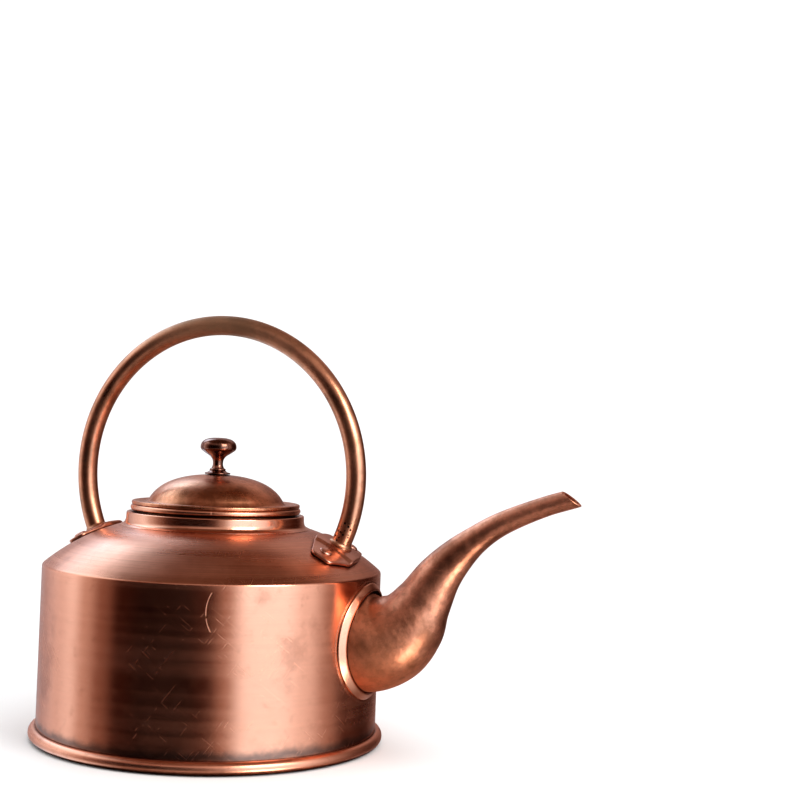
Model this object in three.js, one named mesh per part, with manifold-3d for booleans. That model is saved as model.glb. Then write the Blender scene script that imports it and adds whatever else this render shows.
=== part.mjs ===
// Stovetop kettle in sheet copper: a drum body with a swan-neck spout, a fixed hoop handle
// and a lift-off lid. Millimetres, +Z up, spout along +X, origin at the centre of the base.
import * as THREE from 'three';
import { mergeVertices } from 'three/addons/utils/BufferGeometryUtils.js';
import Module from 'manifold-3d';

const wasm = await Module();
wasm.setup();

// Clearances
const restGap = 0.3; // between pieces that rest on, or are soldered to, each other
const slideGap = 0.4; // all round the lid's skirt inside the collar
const boreGap = 0.2; // all round a rivet shank or stud in its hole

// Body
const drumRadius = 91.2; // outside of the wall
const cornerHeight = 92.3; // where the wall and the shoulder would meet without the bend
const cornerBend = 2.2;
const bodySheet = 1.4;
const shoulderRise = 23.5; // from the corner to the edge of the mouth
const shoulderBulge = 6.6; // how far the shoulder's curve is pulled out from a straight cone

// Base, rolled up round a wire outside the foot of the wall
const panSheet = 1.2;
const footStep = 0.4; // the bead clears the table by this much
const beadRadius = 3.3;
const beadOffset = 0.5; // centre of the bead outside the wall
const padInset = 7.2; // from the wall to the edge of the flat rest face
const padStepWidth = 2; // the step between the rest face and the bead
const solderLeg = 2.3;

// Collar round the mouth
const collarRadius = 48.2;
const collarSheet = 1.2;
const collarRise = 6.42; // from the shoulder's face to the collar's top
const collarBend = 1.6;
const collarFootWidth = 3;
const lipWidth = 4.6; // turned in at the top, and the lid rests on it
const mouthInset = 3.4; // the opening in the shoulder is this much inside the collar

// Spout and its flange
const spoutRootRadius = 26.2;
const spoutSheet = 1.2;
const spoutInset = 7; // how far the root reaches inside the wall's outer face
const flangeWidth = 3.9;
const flangeHeight = 2.6;
const flangeSide = 0.9; // the straight part of its outer edge
const flangeCrownInset = 1.3; // from its edges to its flat crown
const flangeMargin = 0.4; // from the flange's top to the bend of the shoulder
const tipReach = 106.5; // centre of the slanted tip, out from the wall
const tipRise = 80.1; // and up from the centre of the root
const tipCutTilt = 54.4; // degrees from level, the way the slanted opening faces

// Handle
const handleTubeRadius = 5;
const handleTubeWall = 1.3;
const handleFootInset = 19.1; // from the wall in to where the tube's axis meets the shoulder
const hoopBow = 9.1; // how much wider the hoop is than its feet
const hoopOverrun = 6.5; // spare length at each foot, trimmed to the plate
const plateThickness = 1.8;
const plateHalfLength = 26;
const plateHalfWidth = 11.5;
const plateEndHalfWidth = 4.5;
const plateShoulder = 6.5; // half the length that keeps the full width
const plateEndRound = 2;
const brazeWidth = 2.4;
const brazeHeight = 5;

// Rivets through the plates and the shoulder
const rivetSpacing = 18; // each side of the tube
const rivetRadius = 1.9;
const rivetHeadRadius = 3.4;
const rivetHeadHeight = 1.7;
const rivetTailRadius = 2.7;
const rivetTailHeight = 1;
const burrRadius = 4.4;
const burrThickness = 0.9;

// Lid, measured up from its seat on the collar's lip
const lidSheet = 1.2;
const lidBeadRadius = 1.25;
const lidLedgeHeight = 5.4;
const lidLedgeWidth = 7.45; // from the rim ring's centre in to the foot of the dome
const lidEdgeOverhang = 0.6; // of the turned-down edge past the rim ring's centre
const lidEdgeRound = 3; // width of the bend at the edge
const lidDomeHeight = 15.2;
const lidDomeFullness = 0.76; // share of the radius where the side would meet the top
const skirtSheet = 1.1;
const skirtDepth = 8.6; // below the seat
const skirtTaper = 0.6;

// Knob and what holds it
const knobHeight = 19.9;
const knobHeadRadius = 9.75;
const knobFootRadius = 6.95;
const knobWaistRadius = 3.1;
const studRadius = 1.9;
const studDepth = 5; // into the knob
const washerRadius = 5;
const washerThickness = 0.8;
const nutAcrossCorners = 8;
const nutHeight = 3;
const studTail = 1; // showing below the nut

// Facets round the axis: large sheet pieces, the spout, and small turned pieces
const bodyFacets = 48;
const spoutFacets = 20;
const flangeFacets = 32;
const smallFacets = 12;
const shoulderSteps = 5;
const domeSteps = 6;

// Sizes that follow
const mouthRadius = collarRadius - mouthInset;
const shoulder = shoulderCurve();
const collarTop = shoulderHeight(collarRadius) + collarRise;
const footRadius = drumRadius - handleFootInset;
const hoopRadius = footRadius + hoopBow;
const hoopHeight = shoulderHeight(footRadius) + Math.sqrt(hoopRadius ** 2 - footRadius ** 2);
const wallFoot = footStep + panSheet + restGap;
const flangeInner = spoutRootRadius + restGap;
const flangeOuter = flangeInner + flangeWidth;
const spoutHeight = cornerHeight - cornerBend - flangeMargin - flangeOuter;
const plateTop = restGap + plateThickness; // above the shoulder
const lipRadius = collarRadius - lipWidth;
const skirtRadius = lipRadius - slideGap;
const lidSeat = collarTop + restGap;
const lidRimRadius = skirtRadius + restGap + lidBeadRadius;
const lidDomeRadius = lidRimRadius - lidLedgeWidth;
const lidTop = lidLedgeHeight + lidDomeHeight;

// Helpers

/** A closed geometry as a solid, with its faces turned out. */
function toSolid(geometry) {
  const bare = geometry.clone();
  bare.deleteAttribute('normal');
  bare.deleteAttribute('uv');
  const merged = mergeVertices(bare, 1e-4);
  const corners = merged.index.array;
  const place = merged.attributes.position;
  const triangles = [];
  const [a, b, c] = [new THREE.Vector3(), new THREE.Vector3(), new THREE.Vector3()];
  let volume = 0;
  for (let i = 0; i < corners.length; i += 3) {
    const [p, q, r] = corners.slice(i, i + 3);
    if (p === q || q === r || r === p) continue;
    triangles.push([p, q, r]);
    a.fromBufferAttribute(place, p);
    b.fromBufferAttribute(place, q);
    c.fromBufferAttribute(place, r);
    volume += a.dot(b.cross(c));
  }
  if (volume < 0) triangles.forEach((triangle) => triangle.reverse());
  const triVerts = Uint32Array.from(triangles.flat());
  return new wasm.Manifold(new wasm.Mesh({ numProp: 3, vertProperties: place.array, triVerts }));
}

/** A solid's surface as a geometry. */
function toGeometry(solid) {
  const { vertProperties, triVerts } = solid.getMesh();
  const geometry = new THREE.BufferGeometry();
  geometry.setAttribute('position', new THREE.BufferAttribute(vertProperties, 3));
  geometry.setIndex(new THREE.BufferAttribute(triVerts, 1));
  geometry.computeVertexNormals();
  return geometry;
}

/** A profile of [radius, height] points turned round the Z axis. */
function turned(profile, facets) {
  const points = profile.map(([radius, height]) => new THREE.Vector2(radius, height));
  return new THREE.LatheGeometry(points, facets).rotateX(Math.PI / 2);
}

/** The outline moved to its left by a distance, keeping its corners sharp. */
function offsetOutline(outline, distance) {
  const leftOf = (from, to) => {
    const [dx, dy] = [to[0] - from[0], to[1] - from[1]];
    return [-dy / Math.hypot(dx, dy), dx / Math.hypot(dx, dy)];
  };
  return outline.map((point, i) => {
    const ahead = i < outline.length - 1 ? leftOf(point, outline[i + 1]) : leftOf(outline[i - 1], point);
    const behind = i > 0 ? leftOf(outline[i - 1], point) : ahead;
    const scale = distance / (1 + ahead[0] * behind[0] + ahead[1] * behind[1]);
    return [point[0] + (ahead[0] + behind[0]) * scale, point[1] + (ahead[1] + behind[1]) * scale];
  });
}

/** Sheet metal turned round the Z axis: the outline is its face, and the sheet lies to its left. */
function turnedSheet(outline, thickness) {
  const back = offsetOutline(outline, thickness).reverse();
  const closing = outline[0][0] === 0 ? [] : [outline[0]];
  return turned([...outline, ...back, ...closing], bodyFacets);
}

/** Points along a quadratic bend from one point to another, without its first point. */
function bend(from, corner, to, steps) {
  const [a, b, c] = [from, corner, to].map((point) => new THREE.Vector2(...point));
  return new THREE.QuadraticBezierCurve(a, b, c).getPoints(steps).slice(1).map((p) => [p.x, p.y]);
}

/** Points along an arc round a centre, in degrees from level. */
function arc(centre, radius, fromAngle, toAngle, steps) {
  return Array.from({ length: steps + 1 }, (_, i) => {
    const angle = THREE.MathUtils.degToRad(fromAngle + ((toAngle - fromAngle) * i) / steps);
    return [centre[0] + radius * Math.cos(angle), centre[1] + radius * Math.sin(angle)];
  });
}

/** A plain rod along Z between two heights. */
function rod(radius, bottom, top, facets = smallFacets) {
  return new THREE.CylinderGeometry(radius, radius, top - bottom, facets)
    .rotateX(Math.PI / 2)
    .translate(0, 0, (top + bottom) / 2);
}

/** A flat ring round Z between two heights. */
function ring(inner, outer, bottom, top) {
  const section = [[inner, bottom], [outer, bottom], [outer, top], [inner, top], [inner, bottom]];
  return turned(section, smallFacets);
}

function metal(color, roughness) {
  return new THREE.MeshStandardMaterial({ color, roughness, metalness: 1 });
}

/** A named mesh of a solid or a closed geometry. */
function piece(name, shape, material) {
  const solid = shape instanceof THREE.BufferGeometry ? toSolid(shape) : shape;
  const mesh = new THREE.Mesh(toGeometry(solid), material);
  mesh.name = name;
  return mesh;
}

function group(...members) {
  const holder = new THREE.Group();
  holder.add(...members);
  return holder;
}

// Shoulder surface, which the collar, the plates and the rivets all follow

/** The shoulder's face in section, from the corner in to the mouth. */
function shoulderCurve() {
  const corner = new THREE.Vector2(drumRadius, cornerHeight);
  const mouth = new THREE.Vector2(mouthRadius, cornerHeight + shoulderRise);
  const along = mouth.clone().sub(corner).normalize();
  const pull = new THREE.Vector2(along.y, -along.x).multiplyScalar(shoulderBulge);
  const middle = corner.clone().add(mouth).multiplyScalar(0.5).add(pull);
  return new THREE.QuadraticBezierCurve(corner, middle, mouth);
}

/** Where along the shoulder curve a radius lies, by halving. */
function shoulderShare(radius) {
  let [low, high] = [0, 1];
  while (high - low > 1e-7) {
    const middle = (low + high) / 2;
    if (shoulder.getPoint(middle).x > radius) low = middle;
    else high = middle;
  }
  return low;
}

function shoulderHeight(radius) {
  return shoulder.getPoint(shoulderShare(radius)).y;
}

/** The shoulder's face between two shares of its curve. */
function shoulderOutline(fromShare, toShare, steps) {
  return Array.from({ length: steps + 1 }, (_, i) => {
    const point = shoulder.getPoint(fromShare + ((toShare - fromShare) * i) / steps);
    return [point.x, point.y];
  });
}

/** Everything under the shoulder's face raised by some lift. */
function underShoulder(lift) {
  const face = offsetOutline(shoulderOutline(0, 1, shoulderSteps), -lift);
  const depth = cornerHeight - 2 * handleTubeRadius;
  return toSolid(turned([[0, depth], [face[0][0], depth], ...face, [0, face.at(-1)[1]]], bodyFacets));
}

// Body pieces

function bodyShell() {
  const start = cornerBend / shoulder.getLength();
  const slope = shoulderOutline(start, 1, shoulderSteps);
  const top = [drumRadius, cornerHeight - cornerBend];
  const outline = [[drumRadius, wallFoot], top, ...bend(top, [drumRadius, cornerHeight], slope[0], 2)];
  const shell = toSolid(turnedSheet([...outline, ...slope.slice(1)], bodySheet));
  const reach = 2 * spoutInset;
  const bore = rod(spoutRootRadius + restGap, -reach, reach, spoutFacets).rotateY(Math.PI / 2);
  let cut = shell.subtract(toSolid(bore.translate(drumRadius, 0, spoutHeight)));
  for (const side of [0, Math.PI]) {
    for (const sign of [-1, 1]) cut = cut.subtract(toSolid(rivetBore(sign).rotateZ(side)));
  }
  return cut;
}

function basePan() {
  const padRadius = drumRadius - padInset;
  const centre = [drumRadius + beadOffset, footStep + beadRadius];
  const flat = [[0, 0], [padRadius, 0], [padRadius + padStepWidth, footStep]];
  return turnedSheet([...flat, ...arc(centre, beadRadius, -90, 90, 6)], panSheet);
}

function beadWire() {
  const room = beadOffset + beadRadius - panSheet;
  const wireRadius = room / 2 - restGap;
  const centre = [drumRadius + room / 2, footStep + beadRadius];
  return turned(arc(centre, wireRadius, 0, 360, 6), bodyFacets);
}

function baseSolder() {
  const outer = drumRadius - bodySheet - restGap;
  const inner = outer - solderLeg;
  const waist = solderLeg / 3;
  const corner = [[inner, wallFoot], [outer, wallFoot], [outer, wallFoot + solderLeg]];
  return turned([...corner, [outer - waist, wallFoot + waist], [inner, wallFoot]], bodyFacets);
}

function collar() {
  const lift = restGap + collarSheet;
  const foot = (radius) => [radius, shoulderHeight(radius) + lift];
  const flare = foot(collarRadius + collarBend);
  const rise = [collarRadius, flare[1] + collarBend];
  const shoulderOfBand = [collarRadius, collarTop - collarBend];
  const outline = [
    foot(collarRadius + collarFootWidth),
    flare,
    ...bend(flare, [collarRadius, flare[1]], rise, 2),
    shoulderOfBand,
    ...bend(shoulderOfBand, [collarRadius, collarTop], [collarRadius - collarBend, collarTop], 2),
    [lipRadius, collarTop],
  ];
  return turnedSheet(outline, collarSheet);
}

// Spout, in a frame with its origin on the drum's face at the centre of the root

/** The spout's line: [out from the wall, up from the root, radius], root to tip. */
function spoutLine() {
  const line = [
    [-spoutInset, 0, spoutRootRadius],
    [3.4, 0, spoutRootRadius - 0.4],
    [13.6, 3.4, spoutRootRadius - 2.6],
    [22.9, 11.6, spoutRootRadius - 6.5],
    [29.8, 22.7, 15],
    [37.8, 36.5, 11.8],
    [47.2, 47.7, 9.3],
    [57.7, 57.1, 7.1],
    [69.8, 65.2, 6],
    [92, 75.2, 5.1],
    [tipReach + 8, tipRise + 2.6, 4.95],
  ];
  return new THREE.CatmullRomCurve3(line.map((point) => new THREE.Vector3(...point)));
}

/** A pipe along the spout's line, with a hollow inside it. */
function spoutPipe(steps = 20) {
  const line = spoutLine();
  const shares = Array.from({ length: steps + 1 }, (_, i) => i / steps);
  const outside = shares.map((share) => [line.getPointAt(share).z, share]);
  const inside = outside.map(([radius, share]) => [radius - spoutSheet, share]).reverse();
  const pipe = turned([...outside, ...inside, outside[0]], spoutFacets);
  const place = pipe.attributes.position;
  for (let i = 0; i < place.count; i += 1) {
    const [across, side] = [place.getX(i), place.getY(i)];
    const share = THREE.MathUtils.clamp(place.getZ(i), 0, 1);
    const centre = line.getPointAt(share);
    const heading = line.getTangentAt(share);
    const level = Math.hypot(heading.x, heading.y);
    place.setXYZ(
      i,
      centre.x - (across * heading.y) / level,
      side,
      centre.y + (across * heading.x) / level,
    );
  }
  return toSolid(pipe);
}

function spout() {
  const size = 6 * handleTubeRadius;
  const tilt = THREE.MathUtils.degToRad(tipCutTilt);
  const cutter = new THREE.BoxGeometry(size, size, size)
    .translate(size / 2, 0, 0)
    .rotateY(-tilt)
    .translate(tipReach, 0, tipRise);
  return spoutPipe().subtract(toSolid(cutter));
}

/** A rounded ring whose back follows the drum. */
function spoutFlange() {
  const side = [flangeOuter, flangeSide];
  const crown = [flangeOuter - flangeCrownInset, flangeHeight];
  const profile = [
    [flangeInner, 0],
    [flangeOuter, 0],
    side,
    ...bend(side, [flangeOuter, flangeHeight], crown, 3),
    [flangeInner + flangeCrownInset, flangeHeight],
    [flangeInner, 2 * flangeSide],
    [flangeInner, 0],
  ];
  const flange = turned(profile, flangeFacets);
  const place = flange.attributes.position;
  const face = drumRadius + restGap;
  for (let i = 0; i < place.count; i += 1) {
    const [across, up, out] = [place.getX(i), place.getY(i), place.getZ(i)];
    place.setXYZ(i, out + Math.sqrt(face ** 2 - across ** 2) - drumRadius, across, up);
  }
  return flange;
}

// Handle

function handleTube() {
  const sweep = 2 * (Math.PI - Math.asin(footRadius / hoopRadius) + hoopOverrun / hoopRadius);
  class Hoop extends THREE.Curve {
    getPoint(share, target = new THREE.Vector3()) {
      const angle = (share - 0.5) * sweep;
      return target.set(hoopRadius * Math.sin(angle), 0, hoopHeight + hoopRadius * Math.cos(angle));
    }
  }
  const section = new THREE.Shape().absarc(0, 0, handleTubeRadius, 0, 2 * Math.PI);
  section.holes.push(new THREE.Path().absarc(0, 0, handleTubeRadius - handleTubeWall, 0, 2 * Math.PI));
  const tube = new THREE.ExtrudeGeometry(section, { steps: 26, curveSegments: 6, extrudePath: new Hoop() });
  return toSolid(tube).subtract(underShoulder(plateTop + restGap));
}

/** The plate's outline from above, long across the kettle, centred on the handle's foot. */
function plateOutline() {
  const [end, side, tip] = [plateHalfLength, plateHalfWidth, plateEndHalfWidth];
  const outline = new THREE.Shape();
  outline.moveTo(side, -plateShoulder);
  outline.lineTo(side, plateShoulder);
  outline.lineTo(tip, end - plateEndRound);
  outline.quadraticCurveTo(tip - 1, end, tip - 1 - plateEndRound, end);
  outline.lineTo(-tip + 1 + plateEndRound, end);
  outline.quadraticCurveTo(-tip + 1, end, -tip, end - plateEndRound);
  outline.lineTo(-side, plateShoulder);
  outline.lineTo(-side, -plateShoulder);
  outline.lineTo(-tip, -end + plateEndRound);
  outline.quadraticCurveTo(-tip + 1, -end, -tip + 1 + plateEndRound, -end);
  outline.lineTo(tip - 1 - plateEndRound, -end);
  outline.quadraticCurveTo(tip - 1, -end, tip, -end + plateEndRound);
  return outline;
}

function bracket() {
  const face = offsetOutline(shoulderOutline(0, 1, shoulderSteps), -plateTop);
  const layer = toSolid(turnedSheet(face, plateThickness));
  const prism = new THREE.ExtrudeGeometry(plateOutline(), {
    depth: 2 * shoulderRise,
    bevelEnabled: false,
    curveSegments: 4,
  }).translate(footRadius, 0, cornerHeight - bodySheet);
  let plate = layer.intersect(toSolid(prism));
  for (const sign of [-1, 1]) plate = plate.subtract(toSolid(rivetBore(sign)));
  return plate;
}

/** A ring of braze round the tube where it meets the plate, opened a little for the tube's bow. */
function brazeRing() {
  const inner = handleTubeRadius + restGap + brazeHeight ** 2 / (2 * hoopRadius);
  const outer = inner + brazeWidth;
  const edge = inner + brazeWidth / 8;
  const waist = [inner + brazeWidth / 3, brazeHeight / 3];
  const section = [[inner, -brazeHeight], [outer, -brazeHeight], [outer, 0], waist];
  const profile = [...section, [edge, brazeHeight], [inner, brazeHeight], [inner, -brazeHeight]];
  const lift = plateTop + restGap;
  const height = shoulderHeight(footRadius) + lift;
  const lean = Math.asin((hoopHeight - height) / hoopRadius);
  const foot = turned(profile, spoutFacets)
    .rotateY(lean)
    .translate(hoopRadius * Math.cos(lean), 0, height);
  return toSolid(foot).subtract(underShoulder(lift));
}

// Rivets

/** Stands a shape made along +Z on the shoulder at a rivet, at some height over its face. */
function atRivet(shape, sign, height) {
  const radius = Math.hypot(footRadius, rivetSpacing);
  const share = shoulderShare(radius);
  const heading = shoulder.getTangent(share);
  return shape
    .translate(0, 0, height)
    .rotateY(Math.atan2(heading.y, -heading.x))
    .translate(radius, 0, shoulder.getPoint(share).y)
    .rotateZ(sign * Math.atan2(rivetSpacing, footRadius));
}

function rivetBore(sign) {
  return atRivet(rod(rivetRadius + boreGap, -10, 10), sign, 0);
}

/** A domed head outside, a shank, and a smaller head hammered over inside. */
function rivet(sign) {
  const tailTop = -(plateTop + 4 * restGap + bodySheet + burrThickness);
  const tailEnd = tailTop - rivetTailHeight;
  const profile = [
    [0, tailEnd],
    ...bend([0, tailEnd], [rivetTailRadius, tailEnd], [rivetTailRadius, tailTop], 3),
    [rivetRadius, tailTop],
    [rivetRadius, 0],
    [rivetHeadRadius, 0],
    ...bend([rivetHeadRadius, 0], [rivetHeadRadius, rivetHeadHeight], [0, rivetHeadHeight], 3),
  ];
  return atRivet(turned(profile, smallFacets), sign, plateTop + restGap);
}

function burr(sign) {
  const washer = ring(rivetRadius + boreGap, burrRadius, 0, burrThickness);
  return atRivet(washer, sign, -bodySheet - 2 * restGap - burrThickness);
}

// Lid pieces, in a frame with its origin on the seat

/** The dome's face in section, from its foot to its top. */
function domeCurve() {
  const foot = new THREE.Vector2(lidDomeRadius, lidLedgeHeight);
  const crown = new THREE.Vector2(lidDomeFullness * lidDomeRadius, lidTop);
  return new THREE.QuadraticBezierCurve(foot, crown, new THREE.Vector2(0, lidTop));
}

/** How far the dome has fallen from its top at the edge of the washer under it. */
function domeFall() {
  const outline = domeCurve().getPoints(domeSteps);
  const [outer, inner] = outline.slice(-2);
  return ((inner.y - outer.y) * washerRadius) / (outer.x - inner.x);
}

/** Turned down over the rim ring, level along the ledge, then up and over the dome. */
function lidDome() {
  const edge = [lidRimRadius + lidEdgeOverhang, 2 * lidBeadRadius + restGap + lidSheet];
  const ledge = [edge[0] - lidEdgeRound, lidLedgeHeight];
  const dome = domeCurve().getPoints(domeSteps).map((point) => [point.x, point.y]);
  const outline = [edge, ...bend(edge, [edge[0], lidLedgeHeight], ledge, 2), ...dome];
  const inside = offsetOutline(outline, lidSheet);
  const profile = [...outline, ...inside.reverse(), edge];
  return toSolid(turned(profile, bodyFacets)).subtract(toSolid(rod(studRadius + boreGap, 0, lidTop + 1)));
}

function lidRimRing() {
  return turned(arc([lidRimRadius, lidBeadRadius], lidBeadRadius, 0, 360, 6), bodyFacets);
}

function lidSkirt() {
  const outer = skirtRadius;
  const inner = outer - skirtSheet;
  const top = lidLedgeHeight - lidSheet - restGap;
  const foot = [[inner - skirtTaper, -skirtDepth], [outer - skirtTaper, -skirtDepth]];
  return turned([...foot, [outer, 0], [outer, top], [inner, top], [inner, 0], foot[0]], bodyFacets);
}

// Knob, in a frame with its origin on top of the dome

function knob() {
  const [foot, waist, head] = [knobFootRadius, knobWaistRadius, knobHeadRadius];
  const line = [
    [foot, 0.7],
    [0.74 * foot, 1.5],
    [0.7 * foot, 2.4],
    [waist + 0.6, 3.4],
    [waist, 5.8],
    [waist + 0.3, 7.9],
    [waist + 1.6, 9.8],
    [head - 2.5, 11.9],
    [head - 0.2, 13.9],
    [head - 0.1, 15.6],
    [head - 1.8, 17.8],
    [0.45 * head, knobHeight - 0.5],
    [0, knobHeight],
  ];
  const curve = new THREE.SplineCurve(line.map((point) => new THREE.Vector2(...point)));
  const outline = curve.getPoints(17).slice(0, -1).map((point) => [point.x, point.y]);
  const profile = [[0, 0], [foot, 0], ...outline, [0, knobHeight]];
  const socket = rod(studRadius + boreGap, -1, studDepth + restGap);
  return toSolid(turned(profile, spoutFacets)).subtract(toSolid(socket));
}

/** Top of the washer, clear of the dome's inside all the way out to its edge. */
function washerTop() {
  return -lidSheet - 2 * restGap - domeFall();
}

function knobStud() {
  const bottom = washerTop() - washerThickness - restGap - nutHeight - studTail;
  return rod(studRadius, bottom, studDepth);
}

function knobWasher() {
  return ring(studRadius + boreGap, washerRadius, washerTop() - washerThickness, washerTop());
}

function knobNut() {
  const top = washerTop() - washerThickness - restGap;
  const hex = rod(nutAcrossCorners / 2, top - nutHeight, top, 6);
  return toSolid(hex).subtract(toSolid(rod(studRadius + boreGap, top - nutHeight - 1, top + 1)));
}

// Materials
const satinCopper = () => metal(0xb87058, 0.32);
const brownCopper = () => metal(0x8a5038, 0.42);
const brightCopper = () => metal(0xc98467, 0.22);
const darkCopper = () => metal(0x5d3a2e, 0.2);
const brass = () => metal(0xb08a4a, 0.35);
const solder = () => metal(0x9a9690, 0.45);
const steel = () => metal(0x8d8a86, 0.4);

// Assembly

function handleFoot(place, turn) {
  const members = [
    piece(`handle_bracket_${place}`, bracket(), satinCopper()),
    piece(`handle_braze_ring_${place}`, brazeRing(), brass()),
  ];
  for (const [side, sign] of [['left', 1], ['right', -1]]) {
    members.push(piece(`bracket_rivet_${place}_${side}`, rivet(sign), brightCopper()));
    members.push(piece(`rivet_burr_${place}_${side}`, burr(sign), brownCopper()));
  }
  const foot = group(...members);
  foot.rotation.z = turn;
  return foot;
}

const body = group(
  piece('body_shell', bodyShell(), satinCopper()),
  piece('base_pan', basePan(), satinCopper()),
  piece('base_bead_wire', beadWire(), steel()),
  piece('base_solder_fillet', baseSolder(), solder()),
  piece('mouth_collar', collar(), brightCopper()),
);

const spoutAssembly = group(
  piece('spout', spout(), brownCopper()),
  piece('spout_flange', spoutFlange(), brightCopper()),
);
spoutAssembly.position.set(drumRadius, 0, spoutHeight);

const handle = group(
  piece('handle_hoop', handleTube(), brownCopper()),
  handleFoot('front', 0),
  handleFoot('rear', Math.PI),
);

const knobAssembly = group(
  piece('lid_knob', knob(), darkCopper()),
  piece('knob_stud', knobStud(), steel()),
  piece('knob_washer', knobWasher(), brass()),
  piece('knob_nut', knobNut(), brass()),
);
knobAssembly.position.z = lidTop + restGap;

const lid = group(
  piece('lid_dome', lidDome(), satinCopper()),
  piece('lid_rim_ring', lidRimRing(), brightCopper()),
  piece('lid_skirt', lidSkirt(), satinCopper()),
  knobAssembly,
);
lid.position.z = lidSeat;

export default group(body, spoutAssembly, handle, lid);
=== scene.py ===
"""Looks of a copper stovetop kettle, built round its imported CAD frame.

Metres, +Z up, spout along +X, origin at the centre of the base.
"""
import logging
import math
from collections.abc import Callable, Sequence
from dataclasses import dataclass, field
from enum import Enum
from functools import cache, partial, reduce
from typing import ClassVar

import bmesh
import bpy
import numpy as np
from mathutils import Matrix, Vector


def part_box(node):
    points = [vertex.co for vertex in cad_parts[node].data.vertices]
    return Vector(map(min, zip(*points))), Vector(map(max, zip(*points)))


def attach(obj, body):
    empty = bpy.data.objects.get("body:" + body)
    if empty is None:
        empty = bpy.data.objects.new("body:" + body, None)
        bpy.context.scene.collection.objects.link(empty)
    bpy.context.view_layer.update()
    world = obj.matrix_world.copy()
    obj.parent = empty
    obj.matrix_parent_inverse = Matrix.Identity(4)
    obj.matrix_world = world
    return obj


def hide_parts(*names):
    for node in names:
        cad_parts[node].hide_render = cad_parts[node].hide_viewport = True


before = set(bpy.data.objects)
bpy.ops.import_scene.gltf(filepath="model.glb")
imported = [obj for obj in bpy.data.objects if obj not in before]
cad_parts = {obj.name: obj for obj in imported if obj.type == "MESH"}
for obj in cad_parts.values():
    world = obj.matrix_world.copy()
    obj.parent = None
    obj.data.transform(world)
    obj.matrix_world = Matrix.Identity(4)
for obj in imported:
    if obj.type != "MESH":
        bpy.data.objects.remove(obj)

LOG = logging.getLogger("kettle")
MM = 0.001
TURN = 2 * math.pi
KETTLE = "kettle"
LID = "lid"

Point = tuple[float, float]


# Curves in section, in millimetres


def quadratic(start: Point, pull: Point, end: Point, steps: int) -> list[Point]:
    """Points along a quadratic bend.

    Args:
        start: First point.
        pull: Point that the bend is drawn towards.
        end: Last point.
        steps: Number of stretches.

    Returns:
        The points, both ends among them.
    """
    shares = [i / steps for i in range(steps + 1)]
    return [
        tuple((1 - t) ** 2 * a + 2 * t * (1 - t) * b + t * t * c for a, b, c in zip(start, pull, end))
        for t in shares
    ]


def rounded(corners: Sequence[tuple[float, float, float]], steps: int = 8) -> list[Point]:
    """Rounds each corner of an open outline.

    Args:
        corners: Each corner as x, y and the length of edge that its bend takes up.
        steps: Stretches in each bend.

    Returns:
        The outline with its bends.
    """
    outline: list[Point] = []
    for i, (x, y, reach) in enumerate(corners):
        if reach == 0 or i in (0, len(corners) - 1):
            outline.append((x, y))
            continue
        ends = []
        for other in (corners[i - 1], corners[i + 1]):
            away = math.dist(other[:2], (x, y))
            ends.append((x + (other[0] - x) * reach / away, y + (other[1] - y) * reach / away))
        outline += quadratic(ends[0], (x, y), ends[1], steps)
    return outline


def arc(centre: Point, radius: float, start: float, end: float, steps: int) -> list[Point]:
    """Points along an arc.

    Args:
        centre: Its centre.
        radius: Its radius.
        start: First angle in degrees.
        end: Last angle in degrees.
        steps: Number of stretches.

    Returns:
        The points, both ends among them.
    """
    angles = np.radians(np.linspace(start, end, steps + 1))
    return [(centre[0] + radius * math.cos(a), centre[1] + radius * math.sin(a)) for a in angles]


def beside(outline: Sequence[Point], distance: float) -> list[Point]:
    """Moves an open outline to its left.

    Args:
        outline: The outline.
        distance: How far to the left.

    Returns:
        The moved outline, with its corners kept sharp.
    """
    points = np.array(outline, float)
    steps = np.diff(points, axis=0)
    steps /= np.linalg.norm(steps, axis=1)[:, None]
    lefts = np.column_stack([-steps[:, 1], steps[:, 0]])
    before = np.vstack([lefts[:1], lefts])
    after = np.vstack([lefts, lefts[-1:]])
    scale = distance / (1 + (before * after).sum(axis=1))
    return [tuple(p) for p in points + (before + after) * scale[:, None]]


def sheet(outline: Sequence[Point], thickness: float) -> list[Point]:
    """Closes the section of a sheet whose face is given, with the sheet to its left.

    Args:
        outline: The face.
        thickness: Of the sheet.

    Returns:
        The closed section, its first point repeated at its end.
    """
    return [*outline, *reversed(beside(outline, thickness)), outline[0]]


def smooth_line(points: Sequence[Sequence[float]], steps: int) -> np.ndarray:
    """A centripetal spline through points, spaced evenly along its length.

    Args:
        points: Points that it goes through.
        steps: Number of stretches.

    Returns:
        The points along it.
    """
    fineness = 40
    knots = np.array(points, float)
    line = np.vstack([2 * knots[0] - knots[1], knots, 2 * knots[-1] - knots[-2]])
    times = np.concatenate([[0], np.cumsum(np.linalg.norm(np.diff(line, axis=0), axis=1) ** 0.5)])
    dense = []
    for i in range(len(knots) - 1):
        corners, span = line[i:i + 4], times[i:i + 4]
        time = np.linspace(span[1], span[2], fineness)[:, None]

        def between(a: np.ndarray, b: np.ndarray, start: float, end: float) -> np.ndarray:
            """Mixes two points by how far the time has gone from start to end."""
            return (a * (end - time) + b * (time - start)) / (end - start)

        first = [between(corners[k], corners[k + 1], span[k], span[k + 1]) for k in range(3)]
        second = [between(first[k], first[k + 1], span[k], span[k + 2]) for k in range(2)]
        dense.append(between(*second, span[1], span[2]))
    dense = np.vstack(dense)
    lengths = np.concatenate([[0], np.cumsum(np.linalg.norm(np.diff(dense, axis=0), axis=1))])
    even = np.linspace(0, lengths[-1], steps + 1)
    return np.column_stack([np.interp(even, lengths, column) for column in dense.T])


# Meshes from rows of points


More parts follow.
